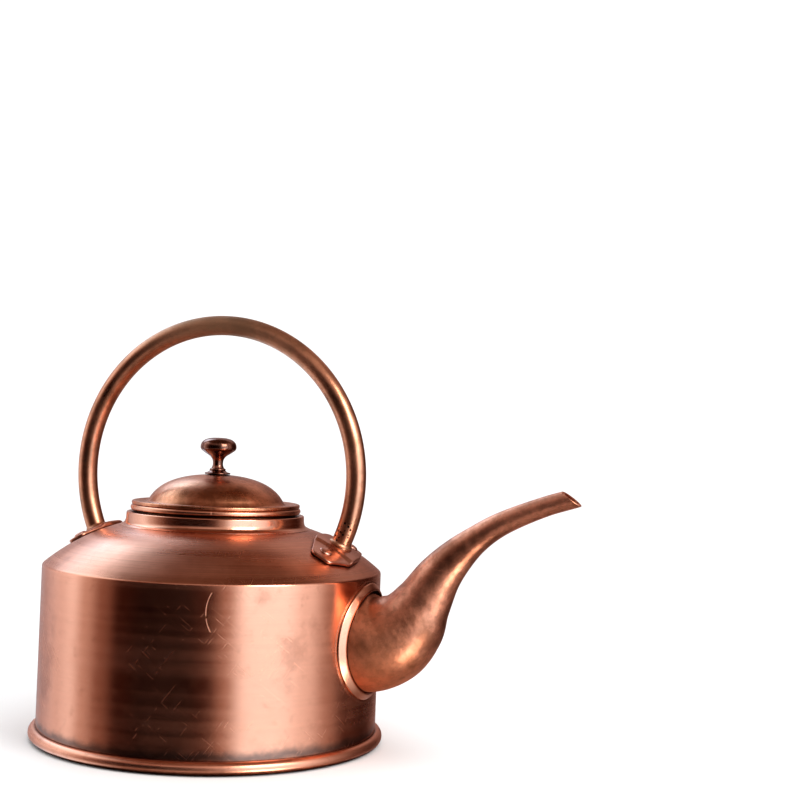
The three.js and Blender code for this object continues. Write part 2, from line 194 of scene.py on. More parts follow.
def full_turn(count: int) -> np.ndarray:
    """Evenly spaced angles round a turn, in radians."""
    return np.arange(count) * TURN / count


def loft(name: str, rows: np.ndarray, wrap: bool = False, crease: float = 40.0) -> bpy.types.Object:
    """Skins rows of points, each row a closed ring.

    Args:
        name: Name of the object.
        rows: Rows by points by three coordinates, in metres.
        wrap: Whether the last row joins the first.
        crease: Angle in degrees above which an edge stays sharp.

    Returns:
        The smooth-shaded object, linked to the scene.
    """
    merge = 1e-7
    count, size = rows.shape[:2]
    mesh = bpy.data.meshes.new(name)
    last = count if wrap else count - 1
    faces = [
        (i * size + j, i * size + (j + 1) % size,
         (i + 1) % count * size + (j + 1) % size, (i + 1) % count * size + j)
        for i in range(last) for j in range(size)
    ]
    mesh.from_pydata(rows.reshape(-1, 3).tolist(), [], faces)
    shape = bmesh.new()
    shape.from_mesh(mesh)
    bmesh.ops.remove_doubles(shape, verts=shape.verts, dist=merge)
    bmesh.ops.dissolve_degenerate(shape, edges=shape.edges, dist=merge)
    bmesh.ops.recalc_face_normals(shape, faces=shape.faces)
    if shape.calc_volume(signed=True) < 0:
        bmesh.ops.reverse_faces(shape, faces=shape.faces)
    shape.to_mesh(mesh)
    shape.free()
    mesh.shade_smooth()
    mesh.set_sharp_from_angle(angle=math.radians(crease))
    piece = bpy.data.objects.new(name, mesh)
    bpy.context.scene.collection.objects.link(piece)
    return piece


def turned_rows(section: Sequence[Point], around: int) -> np.ndarray:
    """Rings of the points of a section, turned round the Z axis.

    Args:
        section: Radius and height pairs.
        around: Points in each ring.

    Returns:
        Rows of points, in the section's unit.
    """
    section = np.array(section, float)
    angles = full_turn(around)
    return np.stack([
        np.outer(section[:, 0], np.cos(angles)),
        np.outer(section[:, 0], np.sin(angles)),
        np.repeat(section[:, 1:], around, axis=1),
    ], axis=-1)


def turned(name: str, section: Sequence[Point], around: int = 288) -> bpy.types.Object:
    """Turns a closed section round the Z axis.

    Args:
        name: Name of the object.
        section: Radius and height pairs in millimetres; a first point on the axis leaves it a disc.
        around: Points in each ring.

    Returns:
        The object.
    """
    return loft(name, turned_rows(np.array(section, float) * MM, around))


def low_corner(node: str) -> Vector:
    """Lowest corner of a frame node, in millimetres."""
    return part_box(node)[0] / MM


def high_corner(node: str) -> Vector:
    """Highest corner of a frame node, in millimetres."""
    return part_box(node)[1] / MM


# Shader node groups, in metres


Socket = bpy.types.NodeSocket


class Tree:
    """A node tree under construction."""

    def __init__(self, tree: bpy.types.NodeTree) -> None:
        """Takes the tree that nodes are added to."""
        self.tree = tree

    def node(self, kind: str, **values: object) -> bpy.types.Node:
        """Adds a node.

        Args:
            kind: Its class name without the ShaderNode prefix.
            **values: Attributes, or inputs by their names with underscores, or a socket to link.

        Returns:
            The node.
        """
        made = self.tree.nodes.new("ShaderNode" + kind)
        waiting = []
        for key, value in values.items():
            if hasattr(made, key):
                setattr(made, key, value)
            else:
                waiting.append((key, value))
        for key, value in waiting:
            self.feed(made.inputs[key.replace("_", " ")], value)
        return made

    def feed(self, socket: Socket, value: object) -> None:
        """Links a socket to another, or sets its own value.

        Args:
            socket: The socket that is fed.
            value: A socket, or a plain value.
        """
        if isinstance(value, Socket):
            self.tree.links.new(value, socket)
        else:
            socket.default_value = value

    def math(self, operation: str, *values: object) -> Socket:
        """Adds a Math node.

        Args:
            operation: What it does.
            *values: What feeds it.

        Returns:
            Its result.
        """
        made = self.tree.nodes.new("ShaderNodeMath")
        made.operation = operation
        for socket, value in zip(made.inputs, values):
            self.feed(socket, value)
        return made.outputs[0]

    def plus(self, *values: object) -> Socket:
        """The sum of some values."""
        return reduce(partial(self.math, "ADD"), values)

    def times(self, *values: object) -> Socket:
        """The product of some values."""
        return reduce(partial(self.math, "MULTIPLY"), values)

    def minus(self, first: object, second: object) -> Socket:
        """One value less another."""
        return self.math("SUBTRACT", first, second)

    def length(self, *parts: object) -> Socket:
        """Length of a vector, from its parts."""
        return self.math("SQRT", self.plus(*[self.times(part, part) for part in parts]))

    def ramp(self, value: object, low: object, high: object) -> Socket:
        """A smooth step of a value from 0 at low to 1 at high."""
        made = self.node(
            "MapRange", interpolation_type="SMOOTHSTEP", Value=value, From_Min=low, From_Max=high)
        return made.outputs["Result"]

    def split(self, vector: object) -> list[Socket]:
        """The three coordinates of a vector."""
        return list(self.node("SeparateXYZ", Vector=vector).outputs)

    def join(self, x: object, y: object, z: object) -> Socket:
        """A vector of three values."""
        return self.node("CombineXYZ", X=x, Y=y, Z=z).outputs[0]

    def noise(self, vector: object, scale: object, detail: float = 4.0, rough: float = 0.55) -> Socket:
        """A Noise texture's value."""
        made = self.node("TexNoise", Vector=vector, Scale=scale, Detail=detail, Roughness=rough)
        return made.outputs["Fac"]

    def ragged(self, vector: object, scale: float, detail: float, size: float) -> Socket:
        """Noise about zero that ranges over a size, to make an edge ragged."""
        return self.times(self.minus(self.noise(vector, scale, detail), 0.5), size)

    def mix(self, share: object, first: object, second: object) -> Socket:
        """Mixes two colours.

        Args:
            share: How much of the second one there is.
            first: A colour.
            second: Another.

        Returns:
            The mixed colour.
        """
        made = self.node("Mix", data_type="RGBA")
        for key, value in (("Factor_Float", share), ("A_Color", first), ("B_Color", second)):
            socket = next(s for s in made.inputs if s.identifier == key)
            self.feed(socket, value)
        return next(s for s in made.outputs if s.identifier == "Result_Color")

    def lay(self, below: object, mask: object, strength: float, colour: object) -> Socket:
        """Lays a colour over another by a mask and a strength."""
        return self.mix(self.times(mask, strength), below, colour)

    def blend(self, share: object, first: bpy.types.Node, second: bpy.types.Node) -> bpy.types.Node:
        """Mixes the first outputs of two shaders.

        Args:
            share: How much of the second one there is.
            first: A shader.
            second: Another.

        Returns:
            The mixing node.
        """
        made = self.node("MixShader")
        for socket, value in zip(made.inputs, (share, first.outputs[0], second.outputs[0])):
            self.feed(socket, value)
        return made


Inputs = dict[str, Socket]
Outputs = dict[str, object]
Build = Callable[[Tree, Inputs], Outputs]


class Effect:
    """A shader node group that several finishes share, built once."""

    def __init__(self, name: str, inputs: dict[str, object], outputs: dict[str, str], build: Build) -> None:
        """Builds the group.

        Args:
            name: Name of the group.
            inputs: Each input's name, and its default value, or None for a vector.
            outputs: Each output's name and socket type without its prefix.
            build: Makes the nodes and returns what feeds each output.
        """
        self.group = bpy.data.node_groups.new(name, "ShaderNodeTree")
        sockets = self.group.interface
        for label, value in inputs.items():
            kind = "NodeSocketVector" if value is None else "NodeSocketFloat"
            socket = sockets.new_socket(label, in_out="INPUT", socket_type=kind)
            if value is not None:
                socket.default_value = value
        for label, kind in outputs.items():
            sockets.new_socket(label, in_out="OUTPUT", socket_type="NodeSocket" + kind)
        tree = Tree(self.group)
        entry = self.group.nodes.new("NodeGroupInput")
        leave = self.group.nodes.new("NodeGroupOutput")
        results = build(tree, {label: entry.outputs[label] for label in inputs})
        for label, value in results.items():
            tree.feed(leave.inputs[label], value)

    def place(self, tree: Tree, **values: object) -> bpy.types.bpy_prop_collection:
        """Places the group in a material.

        Args:
            tree: The material's tree.
            **values: Its inputs, by their names with underscores.

        Returns:
            The placed group's outputs.
        """
        made = tree.tree.nodes.new("ShaderNodeGroup")
        made.node_tree = self.group
        for key, value in values.items():
            tree.feed(made.inputs[key.replace("_", " ")], value)
        return made.outputs

    def mask(self, tree: Tree, place: Socket, **values: object) -> Socket:
        """The mask of the group, placed on a surface."""
        return self.place(tree, Vector=place, **values)["Mask"]


def turned_grain(tree: Tree, given: Inputs) -> Outputs:
    """Grain that runs round the Z axis, as a lathe leaves it.

    Args:
        tree: The group's tree.
        given: The group's inputs.

    Returns:
        What feeds each output.
    """
    x, y, z = tree.split(given["Vector"])
    across = tree.minus(z, tree.length(x, y))
    return {"Vector": tree.join(tree.times(x, given["Drift"]), tree.times(y, given["Drift"]), across)}


def hoop_grain(tree: Tree, given: Inputs) -> Outputs:
    """Grain that runs along the hoop of the handle.

    Args:
        tree: The group's tree.
        given: The group's inputs.

    Returns:
        What feeds each output.
    """
    hoop_radius = 0.1
    x, y, z = tree.split(given["Vector"])
    up = tree.minus(z, given["Centre height"])
    along = tree.times(tree.math("ARCTAN2", x, up), tree.times(given["Drift"], hoop_radius))
    return {"Vector": tree.join(tree.length(x, up), y, along)}


def spout_grain(tree: Tree, given: Inputs) -> Outputs:
    """Grain that runs round the spout, by how far a point lies along its rise.

    Args:
        tree: The group's tree.
        given: The group's inputs.

    Returns:
        What feeds each output.
    """
    steepness = 0.7
    x, y, z = tree.split(given["Vector"])
    along = tree.plus(x, tree.times(z, steepness))
    return {"Vector": tree.join(along, tree.times(y, given["Drift"]), tree.times(z, given["Drift"]))}


def brushing(tree: Tree, given: Inputs) -> Outputs:
    """Lines of two widths along the grain, and how rough the broad ones leave the surface.

    Args:
        tree: The group's tree.
        given: The group's inputs.

    Returns:
        What feeds each output.
    """
    fine_share = 0.55
    fine = tree.noise(given["Grain"], given["Fine scale"], detail=3.0, rough=0.7)
    broad = tree.noise(given["Grain"], given["Broad scale"], detail=2.0, rough=0.5)
    lines = tree.plus(tree.times(fine, fine_share), tree.times(broad, 1 - fine_share))
    return {"Lines": lines, "Broad": tree.ramp(broad, 0.3, 0.7)}


def patches(tree: Tree, given: Inputs) -> Outputs:
    """Soft-edged patches of stain, broken up by finer ones.

    Args:
        tree: The group's tree.
        given: The group's inputs.

    Returns:
        What feeds each output.
    """
    clean_below, stained_above = 0.62, 0.80
    large = tree.noise(given["Vector"], given["Scale"], detail=6.0, rough=0.62)
    low, high = [tree.minus(level, given["Cover"]) for level in (clean_below, stained_above)]
    return {"Mask": tree.ramp(large, low, high)}


def scratches(tree: Tree, given: Inputs) -> Outputs:
    """Thin straight scratches one way, that come in groups.

    Args:
        tree: The group's tree.
        given: The group's inputs.

    Returns:
        What feeds each output.
    """
    metres_per_radian, stretch = 0.09, 0.22
    group_scale, break_scale = 26.0, 420.0
    x, y, z = tree.split(given["Vector"])
    round_way = tree.times(tree.math("ARCTAN2", y, x), metres_per_radian)
    across = tree.plus(z, tree.times(round_way, given["Lean"]))
    along = tree.minus(round_way, tree.times(z, given["Lean"]))
    thin = tree.noise(tree.join(across, 0.0, 0.0), given["Scale"], detail=1.0, rough=0.5)
    lines = tree.ramp(thin, 0.60, 0.68)
    groups = tree.ramp(tree.noise(given["Vector"], group_scale, detail=3.0), 0.38, 0.72)
    stretched = tree.join(across, tree.times(along, stretch), 0.0)
    broken = tree.ramp(tree.noise(stretched, break_scale, detail=1.0), 0.50, 0.60)
    return {"Mask": tree.times(lines, groups, broken)}


def above_height(tree: Tree, given: Inputs) -> Outputs:
    """Everything over a height.

    Args:
        tree: The group's tree.
        given: The group's inputs.

    Returns:
        What feeds each output.
    """
    over = tree.minus(tree.split(given["Vector"])[2], given["Height"])
    return {"Mask": tree.ramp(over, 0.0, given["Softness"])}


def curved_scratch(tree: Tree, given: Inputs) -> Outputs:
    """One long curved scratch on the wall, part of a circle.

    Args:
        tree: The group's tree.
        given: The group's inputs.

    Returns:
        What feeds each output.
    """
    metres_per_radian = 0.0912
    faint_at, clear_at, break_scale = 0.0004, 0.0001, 400.0
    x, y, z = tree.split(given["Vector"])
    side = tree.times(tree.minus(tree.math("ARCTAN2", y, x), given["Side"]), metres_per_radian)
    up = tree.minus(z, given["Height"])
    off_line = tree.math("ABSOLUTE", tree.minus(tree.length(side, up), given["Radius"]))
    half_height = tree.times(given["Radius"], 0.5)
    short = tree.math("LESS_THAN", tree.math("ABSOLUTE", up), half_height)
    one_side = tree.times(tree.math("LESS_THAN", side, 0.0), short)
    line = tree.ramp(off_line, faint_at, clear_at)
    broken = tree.ramp(tree.noise(given["Vector"], break_scale, detail=2.0), 0.3, 0.5)
    return {"Mask": tree.times(line, one_side, broken)}


def pits(tree: Tree, given: Inputs) -> Outputs:
    """Small dark pits left by brazing, close to a point.

    Args:
        tree: The group's tree.
        given: The group's inputs.

    Returns:
        What feeds each output.
    """
    cells = tree.node("TexVoronoi", Vector=given["Vector"], Scale=given["Scale"])
    spots = tree.ramp(cells.outputs["Distance"], 0.42, 0.25)
    some = tree.noise(given["Vector"], given["Group scale"], detail=2.0)
    return {"Mask": tree.times(spots, tree.ramp(some, 0.40, 0.48), given["Nearness"])}


def edge_wear(tree: Tree, given: Inputs) -> Outputs:
    """Brightness on edges that hands and cloths rub.

    Args:
        tree: The group's tree.
        given: The group's inputs.

    Returns:
        What feeds each output.
    """
    edge_from, unevenness, softness = 0.53, 0.05, 0.03
    uneven = tree.noise(given["Vector"], given["Scale"], detail=3.0)
    limit = tree.plus(edge_from, tree.times(uneven, unevenness))
    sharpness = tree.node("NewGeometry").outputs["Pointiness"]
    return {"Mask": tree.ramp(tree.minus(sharpness, limit), -softness, softness)}


def painted_crevice_shade(tree: Tree, given: Inputs) -> Outputs:
    """Painted shade in crevices and gaps, from how enclosed a point is.

    Args:
        tree: The group's tree.
        given: The group's inputs.

    Returns:
        What feeds each output.
    """
    open_at, shut_at = 0.78, 0.42
    # Ambient occlusion, made ragged by noise, places the painted shade.
    openness = tree.node("AmbientOcclusion", samples=8, Distance=given["Reach"]).outputs["AO"]
    level = tree.plus(openness, tree.ragged(given["Vector"], scale=260.0, detail=4.0, size=0.35))
    return {"Mask": tree.ramp(level, open_at, shut_at)}


def height_band(tree: Tree, given: Inputs) -> Outputs:
    """A ragged band round the body, fading out either side of a height.

    Args:
        tree: The group's tree.
        given: The group's inputs.

    Returns:
        What feeds each output.
    """
    z = tree.split(given["Vector"])[2]
    level = tree.plus(z, tree.ragged(given["Vector"], scale=120.0, detail=5.0, size=0.006))
    away = tree.math("ABSOLUTE", tree.minus(level, given["Height"]))
    return {"Mask": tree.ramp(away, given["Half width"], 0.0)}


def near_point(tree: Tree, given: Inputs) -> Outputs:
    """Nearness to a point, about 1 at it and 0 at a distance.

    Args:
        tree: The group's tree.
        given: The group's inputs.

    Returns:
        What feeds each output.
    """
    apart = tree.node("VectorMath", operation="DISTANCE")
    tree.feed(apart.inputs[0], given["Vector"])
    tree.feed(apart.inputs[1], given["Centre"])
    ragged = tree.ragged(given["Vector"], scale=90.0, detail=4.0, size=0.02)
    return {"Mask": tree.ramp(tree.plus(apart.outputs["Value"], ragged), given["Distance"], 0.0)}


TO_VECTOR = {"Vector": "Vector"}
TO_MASK = {"Mask": "Float"}

TURNED_GRAIN = Effect("turned_grain", {"Vector": None, "Drift": 0.02}, TO_VECTOR, turned_grain)
HOOP_GRAIN = Effect(
    "hoop_grain", {"Vector": None, "Drift": 0.02, "Centre height": 0.143}, TO_VECTOR, hoop_grain)
SPOUT_GRAIN = Effect("spout_grain", {"Vector": None, "Drift": 0.02}, TO_VECTOR, spout_grain)
BRUSHING = Effect(
    "brushing", {"Grain": None, "Fine scale": 1000.0, "Broad scale": 210.0},
    {"Lines": "Float", "Broad": "Float"}, brushing)
PATCHES = Effect("patches", {"Vector": None, "Scale": 20.0, "Cover": 0.1}, TO_MASK, patches)
SCRATCHES = Effect("scratches", {"Vector": None, "Scale": 1100.0, "Lean": 0.8}, TO_MASK, scratches)
ABOVE_HEIGHT = Effect(
    "above_height", {"Vector": None, "Height": 1.0, "Softness": 0.0025}, TO_MASK, above_height)
CURVED_SCRATCH = Effect(
    "curved_scratch", {"Vector": None, "Side": -1.0, "Height": 0.079, "Radius": 0.019}, TO_MASK,
    curved_scratch)
PITS = Effect(
    "pits", {"Vector": None, "Nearness": 0.0, "Scale": 520.0, "Group scale": 170.0}, TO_MASK, pits)
EDGE_WEAR = Effect("edge_wear", {"Vector": None, "Scale": 190.0}, TO_MASK, edge_wear)
# Painted shade in crevices and gaps, from ambient occlusion.
PAINTED_CREVICE_SHADE = Effect("painted_crevice_shade", {"Vector": None, "Reach": 0.004}, TO_MASK, painted_crevice_shade)
HEIGHT_BAND = Effect(
    "height_band", {"Vector": None, "Height": 0.008, "Half width": 0.003}, TO_MASK, height_band)
NEAR_POINT = Effect("near_point", {"Vector": None, "Centre": None, "Distance": 0.01}, TO_MASK, near_point)


# Finishes


class Grain(Enum):
    """Which way a metal was rubbed."""

    TURNED = "round the axis"
    HOOP = "along the handle"
    SPOUT = "round the spout"


Colour = tuple[float, float, float]
Place = tuple[float, float, float]


@dataclass(frozen=True)
class Marks:
    """What the colour, roughness and relief of a surface follow."""

    lines: Socket
    broad: Socket
    scratch: Socket
    tint_and_painted_shade: Socket | None
    dull: Socket | None


@dataclass(frozen=True)
class Metal:
    """A worked metal surface: its colours, how it was rubbed, how far it has tarnished, and the shade
    painted into its crevices and some of its tinting.

    Lengths are in metres. A mark whose place or height is None is left out.
    """

    name: str
    bright: Colour
    tarnish: Colour
    roughness: float = 0.28
    roughness_spread: float = 0.12
    anisotropy: float = 0.0
    grain: Grain = Grain.TURNED
    line_depth: float = 0.00002
    stain_scale: float = 24.0
    stain_cover: float = 0.1
    stain_strength: float = 0.6
    scratch_strength: float = 0.0
    long_scratch_side: float | None = None
    # Painted shade in crevices: how far ambient occlusion looks for enclosing surfaces, and how strong the
    # shade is.
    painted_shade_reach: float = 0.004
    painted_shade_strength: float = 0.85
    wear_strength: float = 0.4
    dent_scale: float = 30.0
    dent_depth: float = 0.0
    band_height: float | None = None
    band_half_width: float = 0.004
    # Tinting near a point: heat tinting on the spout's root, and painted shade where it darkens the drum
    # round the spout and the top of the hoop.
    tint_and_shade_centre: Place | None = None
    tint_and_shade_distance: float = 0.03
    tint_and_painted_shade: Colour = (0.9, 0.32, 0.12)
    dull_above: float | None = None
    pit_centre: Place | None = None

    # The same on every finish
    line_shades: ClassVar[tuple[float, float]] = (0.88, 1.06)
    fleck_fineness: ClassVar[float] = 7
    fleck_strength: ClassVar[float] = 0.45
    # Strength and added roughness of the tinting, which is partly painted shade.
    tint_and_shade_strength: ClassVar[float] = 0.7
    tint_and_shade_roughness: ClassVar[float] = 0.3
    cloud_scale: ClassVar[float] = 30.0
    dull_strength: ClassVar[float] = 0.8
    dull_shade: ClassVar[float] = 1.3
    dull_roughness: ClassVar[float] = 0.14
    band_strength: ClassVar[float] = 0.8
    band_colour: ClassVar[Colour] = (0.16, 0.11, 0.09)
    pit_distance: ClassVar[float] = 0.011
    pit_fade: ClassVar[float] = 0.35
    pit_colour: ClassVar[Colour] = (0.04, 0.02, 0.012)
    # How dark the painted shade in crevices makes the tarnish colour.
    painted_shade_darkness: ClassVar[float] = 0.35
    wear_shade: ClassVar[float] = 1.12
    scratch_leans: ClassVar[tuple[float, float]] = (0.8, -1.36)
    scratch_scales: ClassVar[tuple[float, float]] = (1100.0, 700.0)
    scratch_shade: ClassVar[float] = 1.1
    scratch_roughness: ClassVar[float] = 0.25
    scratch_depth: ClassVar[float] = 0.00005
    smear_coarseness: ClassVar[float] = 0.6
    smear_cover: ClassVar[float] = 0.2
    grain_rotation: ClassVar[float] = 0.25

    def shade(self, colour: Colour, factor: float = 1.0) -> tuple[float, float, float, float]:
        """A colour made darker or lighter, with full alpha."""
        return (*(min(1.0, part * factor) for part in colour), 1.0)

    def scratched(self, tree: Tree, place: Socket) -> Socket:
        """Scratches both ways, and the long one where the finish has it.

        Args:
            tree: The material's tree.
            place: Position on the piece.

        Returns:
            How scratched the surface is.
        """
        one, other = [
            SCRATCHES.mask(tree, place, Lean=lean, Scale=scale)
            for lean, scale in zip(self.scratch_leans, self.scratch_scales)
        ]
        both = tree.times(tree.math("MAXIMUM", one, other), self.scratch_strength)
        if self.long_scratch_side is None:
            return both
        return tree.math("MAXIMUM", both, CURVED_SCRATCH.mask(tree, place, Side=self.long_scratch_side))

    def marks(self, tree: Tree, place: Socket) -> Marks:
        """Places the effects that the colour, the roughness and the relief share.

        Args:
            tree: The material's tree.
            place: Position on the piece.

        Returns:
            The marks.
        """
        grains = {Grain.TURNED: TURNED_GRAIN, Grain.HOOP: HOOP_GRAIN, Grain.SPOUT: SPOUT_GRAIN}
        grain = grains[self.grain].place(tree, Vector=place)["Vector"]
        brushed = BRUSHING.place(tree, Grain=grain)
        tint_and_painted_shade = dull = None
        # Tinting near a point, partly painted shade.
        if self.tint_and_shade_centre is not None:
            tint_and_painted_shade = NEAR_POINT.mask(tree, place, Centre=self.tint_and_shade_centre, Distance=self.tint_and_shade_distance)
        if self.dull_above is not None:
            dull = ABOVE_HEIGHT.mask(tree, place, Height=self.dull_above)
        return Marks(brushed["Lines"], brushed["Broad"], self.scratched(tree, place), tint_and_painted_shade, dull)

    def dulled(self, tree: Tree, place: Socket, marks: Marks, below: Socket) -> Socket:
        """Streaks and clouds of tarnish where the metal is dull.

        Args:
            tree: The material's tree.
            place: Position on the piece.
            marks: The shared marks.
            below: The colour that they lie on.

        Returns:
            The colour.
        """
        clouds = tree.times(tree.noise(place, self.cloud_scale, detail=5.0, rough=0.65), -1.4)
        streaks = tree.plus(tree.math("MULTIPLY_ADD", marks.lines, -2.0, 2.2), clouds)
        dull = tree.times(marks.dull, tree.ramp(streaks, 0.0, 1.0))
        return tree.lay(below, dull, self.dull_strength, self.shade(self.tarnish, self.dull_shade))

    def colour(self, tree: Tree, place: Socket, marks: Marks) -> Socket:
        """The surface's colour, from clean metal to tarnish, with painted shade in crevices and in some
        tinting, and bright again where it is rubbed.

        Args:
            tree: The material's tree.
            place: Position on the piece.
            marks: The shared marks.

        Returns:
            The colour.
        """
        clean = tree.mix(marks.lines, *(self.shade(self.bright, factor) for factor in self.line_shades))
        blotch, fleck = [
            PATCHES.mask(tree, place, Scale=self.stain_scale * fineness, Cover=self.stain_cover)
            for fineness in (1, self.fleck_fineness)
        ]
        stain = tree.math("MAXIMUM", blotch, tree.times(fleck, self.fleck_strength))
        layer = tree.lay(clean, stain, self.stain_strength, self.shade(self.tarnish))
        if marks.dull is not None:
            layer = self.dulled(tree, place, marks, layer)
        # Tinting near a point: heat tinting, and painted shade where it darkens.
        if marks.tint_and_painted_shade is not None:
            layer = tree.lay(layer, marks.tint_and_painted_shade, self.tint_and_shade_strength, self.shade(self.tint_and_painted_shade))
        if self.band_height is not None:
            band = HEIGHT_BAND.mask(tree, place, Height=self.band_height, Half_width=self.band_half_width)
            layer = tree.lay(layer, band, self.band_strength, self.shade(self.band_colour))
        if self.pit_centre is not None:
            near = NEAR_POINT.mask(tree, place, Centre=self.pit_centre, Distance=self.pit_distance)
            pitted = PITS.mask(tree, place, Nearness=tree.ramp(near, 0.0, self.pit_fade))
            layer = tree.mix(pitted, layer, self.shade(self.pit_colour))
        # Painted shade in crevices and gaps: a darkened tarnish colour where ambient occlusion finds the
        # point enclosed.
        painted_shade = PAINTED_CREVICE_SHADE.mask(tree, place, Reach=self.painted_shade_reach)
        layer = tree.lay(layer, painted_shade, self.painted_shade_strength, self.shade(self.tarnish, self.painted_shade_darkness))
        worn = EDGE_WEAR.mask(tree, place)
        layer = tree.lay(layer, worn, self.wear_strength, self.shade(self.bright, self.wear_shade))
        return tree.mix(marks.scratch, layer, self.shade(self.bright, self.scratch_shade))

    def rough(self, tree: Tree, place: Socket, marks: Marks) -> Socket:
        """The surface's roughness, higher where it is smeared, scratched, tinted or dull.

        Args:
            tree: The material's tree.
            place: Position on the piece.
            marks: The shared marks.

        Returns:
            The roughness.
        """
        smear_scale = self.stain_scale * self.smear_coarseness
        smear = PATCHES.mask(tree, place, Scale=smear_scale, Cover=self.smear_cover)
        spread = tree.times(tree.plus(marks.broad, smear), 0.5)
        weights = (
            (spread, self.roughness_spread), (marks.scratch, self.scratch_roughness),
            (marks.tint_and_painted_shade, self.tint_and_shade_roughness), (marks.dull, self.dull_roughness))
        added = [tree.times(mask, weight) for mask, weight in weights if mask is not None]
        return tree.plus(self.roughness, *added)

    def relief(self, tree: Tree, place: Socket, marks: Marks) -> Socket:
        """The surface's normal, from its lines, dents and scratches.

        Args:
            tree: The material's tree.
            place: Position on the piece.
            marks: The shared marks.

        Returns:
            The normal.
        """
        dents = tree.noise(place, self.dent_scale, detail=1.0, rough=0.4)
        height = tree.plus(
            tree.times(marks.lines, self.line_depth), tree.times(dents, self.dent_depth),
            tree.times(marks.scratch, -self.scratch_depth))
        return tree.node("Bump", Height=height, Strength=1.0, Distance=1.0).outputs["Normal"]

    @cache
    def material(self) -> bpy.types.Material:
        """Builds the material, once for each finish.

        Returns:
            The material.
        """
        made = bpy.data.materials.new(self.name)
        made.use_nodes = True
        tree = Tree(made.node_tree)
        shader = made.node_tree.nodes["Principled BSDF"]
        place = tree.node("TexCoord").outputs["Object"]
        marks = self.marks(tree, place)
        tree.feed(shader.inputs["Base Color"], self.colour(tree, place, marks))
        tree.feed(shader.inputs["Roughness"], self.rough(tree, place, marks))
        tree.feed(shader.inputs["Normal"], self.relief(tree, place, marks))
        shader.inputs["Metallic"].default_value = 1.0
        shader.inputs["Anisotropic"].default_value = self.anisotropy
        shader.inputs["Anisotropic Rotation"].default_value = self.grain_rotation
        return made


COPPER: Colour = (0.92, 0.41, 0.25)
BROWN: Colour = (0.44, 0.16, 0.08)

# The tinting darkens and dulls the wall round the spout's root: partly heat tinting, partly painted shade
# next to the spout.
DRUM_COPPER = Metal(
    "drum_satin_copper", COPPER, (0.48, 0.19, 0.11), roughness=0.10, roughness_spread=0.16, anisotropy=0.25,
    scratch_strength=0.5, long_scratch_side=-0.93, stain_cover=0.07, stain_strength=0.55,
    band_height=0.0085, band_half_width=0.005, dent_scale=16.0, dent_depth=0.0006,
    tint_and_shade_centre=(0.091, 0.0, 0.06), tint_and_shade_distance=0.05, tint_and_painted_shade=(0.60, 0.28, 0.16), dull_above=0.0915)
PAN_COPPER = Metal("base_rolled_copper", COPPER, BROWN, roughness=0.24, dent_scale=40.0, dent_depth=0.0002)
COLLAR_COPPER = Metal(
    "collar_polished_copper", (0.90, 0.43, 0.27), BROWN, roughness=0.17, roughness_spread=0.08,
    stain_cover=0.06, dent_scale=45.0, dent_depth=0.0002)
RING_COPPER = Metal(
    "ring_bright_copper", (0.92, 0.43, 0.26), BROWN, roughness=0.2, roughness_spread=0.08, stain_cover=0.04)
LID_COPPER = Metal(
    "lid_satin_copper", (0.82, 0.34, 0.18), (0.34, 0.12, 0.05), roughness=0.24, anisotropy=0.2,
    stain_scale=60.0, stain_cover=0.19, stain_strength=0.65, dent_scale=55.0, dent_depth=0.0005,
    scratch_strength=0.35)
SPOUT_COPPER = Metal(
    "spout_oxidised_copper", (0.86, 0.36, 0.21), (0.28, 0.10, 0.05), roughness=0.34, roughness_spread=0.14,
    grain=Grain.SPOUT, line_depth=0.00007, stain_scale=34.0, stain_cover=0.17, stain_strength=0.75,
    tint_and_shade_centre=(0.094, 0.0, 0.05), tint_and_shade_distance=0.045, dent_scale=380.0, dent_depth=0.00012,
    scratch_strength=0.4)
# The tinting darkens and roughens the top of the hoop: partly patina, partly painted shade standing for the
# dim space overhead that it reflects.
HANDLE_COPPER = Metal(
    "handle_brown_copper", (0.82, 0.37, 0.21), (0.27, 0.13, 0.07), roughness=0.24, roughness_spread=0.16,
    grain=Grain.HOOP, stain_scale=40.0, stain_cover=0.15, stain_strength=0.65, dent_scale=90.0,
    dent_depth=0.0003, tint_and_shade_centre=(0.0, 0.0, 0.225), tint_and_shade_distance=0.075, tint_and_painted_shade=(0.42, 0.24, 0.13),
    pit_centre=(0.0765, -0.0045, 0.1135))
# The plates keep a shorter reach for their painted shade in crevices.
PLATE_COPPER = Metal(
    "bracket_hammered_copper", (0.82, 0.39, 0.26), BROWN, roughness=0.26, painted_shade_reach=0.003,
    wear_strength=0.6, dent_scale=120.0, dent_depth=0.0003)
# The rivets keep a shorter reach for their painted shade in crevices.
RIVET_COPPER = Metal(
    "rivet_bright_copper", (0.86, 0.43, 0.30), BROWN, roughness=0.3, painted_shade_reach=0.003, stain_cover=0.05)
KNOB_COPPER = Metal(
    "knob_dark_bronzed_copper", (0.38, 0.17, 0.11), (0.07, 0.03, 0.02), roughness=0.12, roughness_spread=0.1,
    stain_scale=90.0, stain_cover=0.16, stain_strength=0.85, wear_strength=0.7)
BRAZE = Metal(
    "dull_braze", (0.74, 0.35, 0.20), (0.35, 0.16, 0.08), roughness=0.36, dent_scale=300.0,
    dent_depth=0.0002)
TIN = Metal(
    "grey_tin", (0.55, 0.54, 0.52), (0.28, 0.27, 0.26), roughness=0.38, dent_scale=200.0, dent_depth=0.0003)
STEEL = Metal("drawn_steel", (0.50, 0.49, 0.48), (0.20, 0.17, 0.15), roughness=0.3)


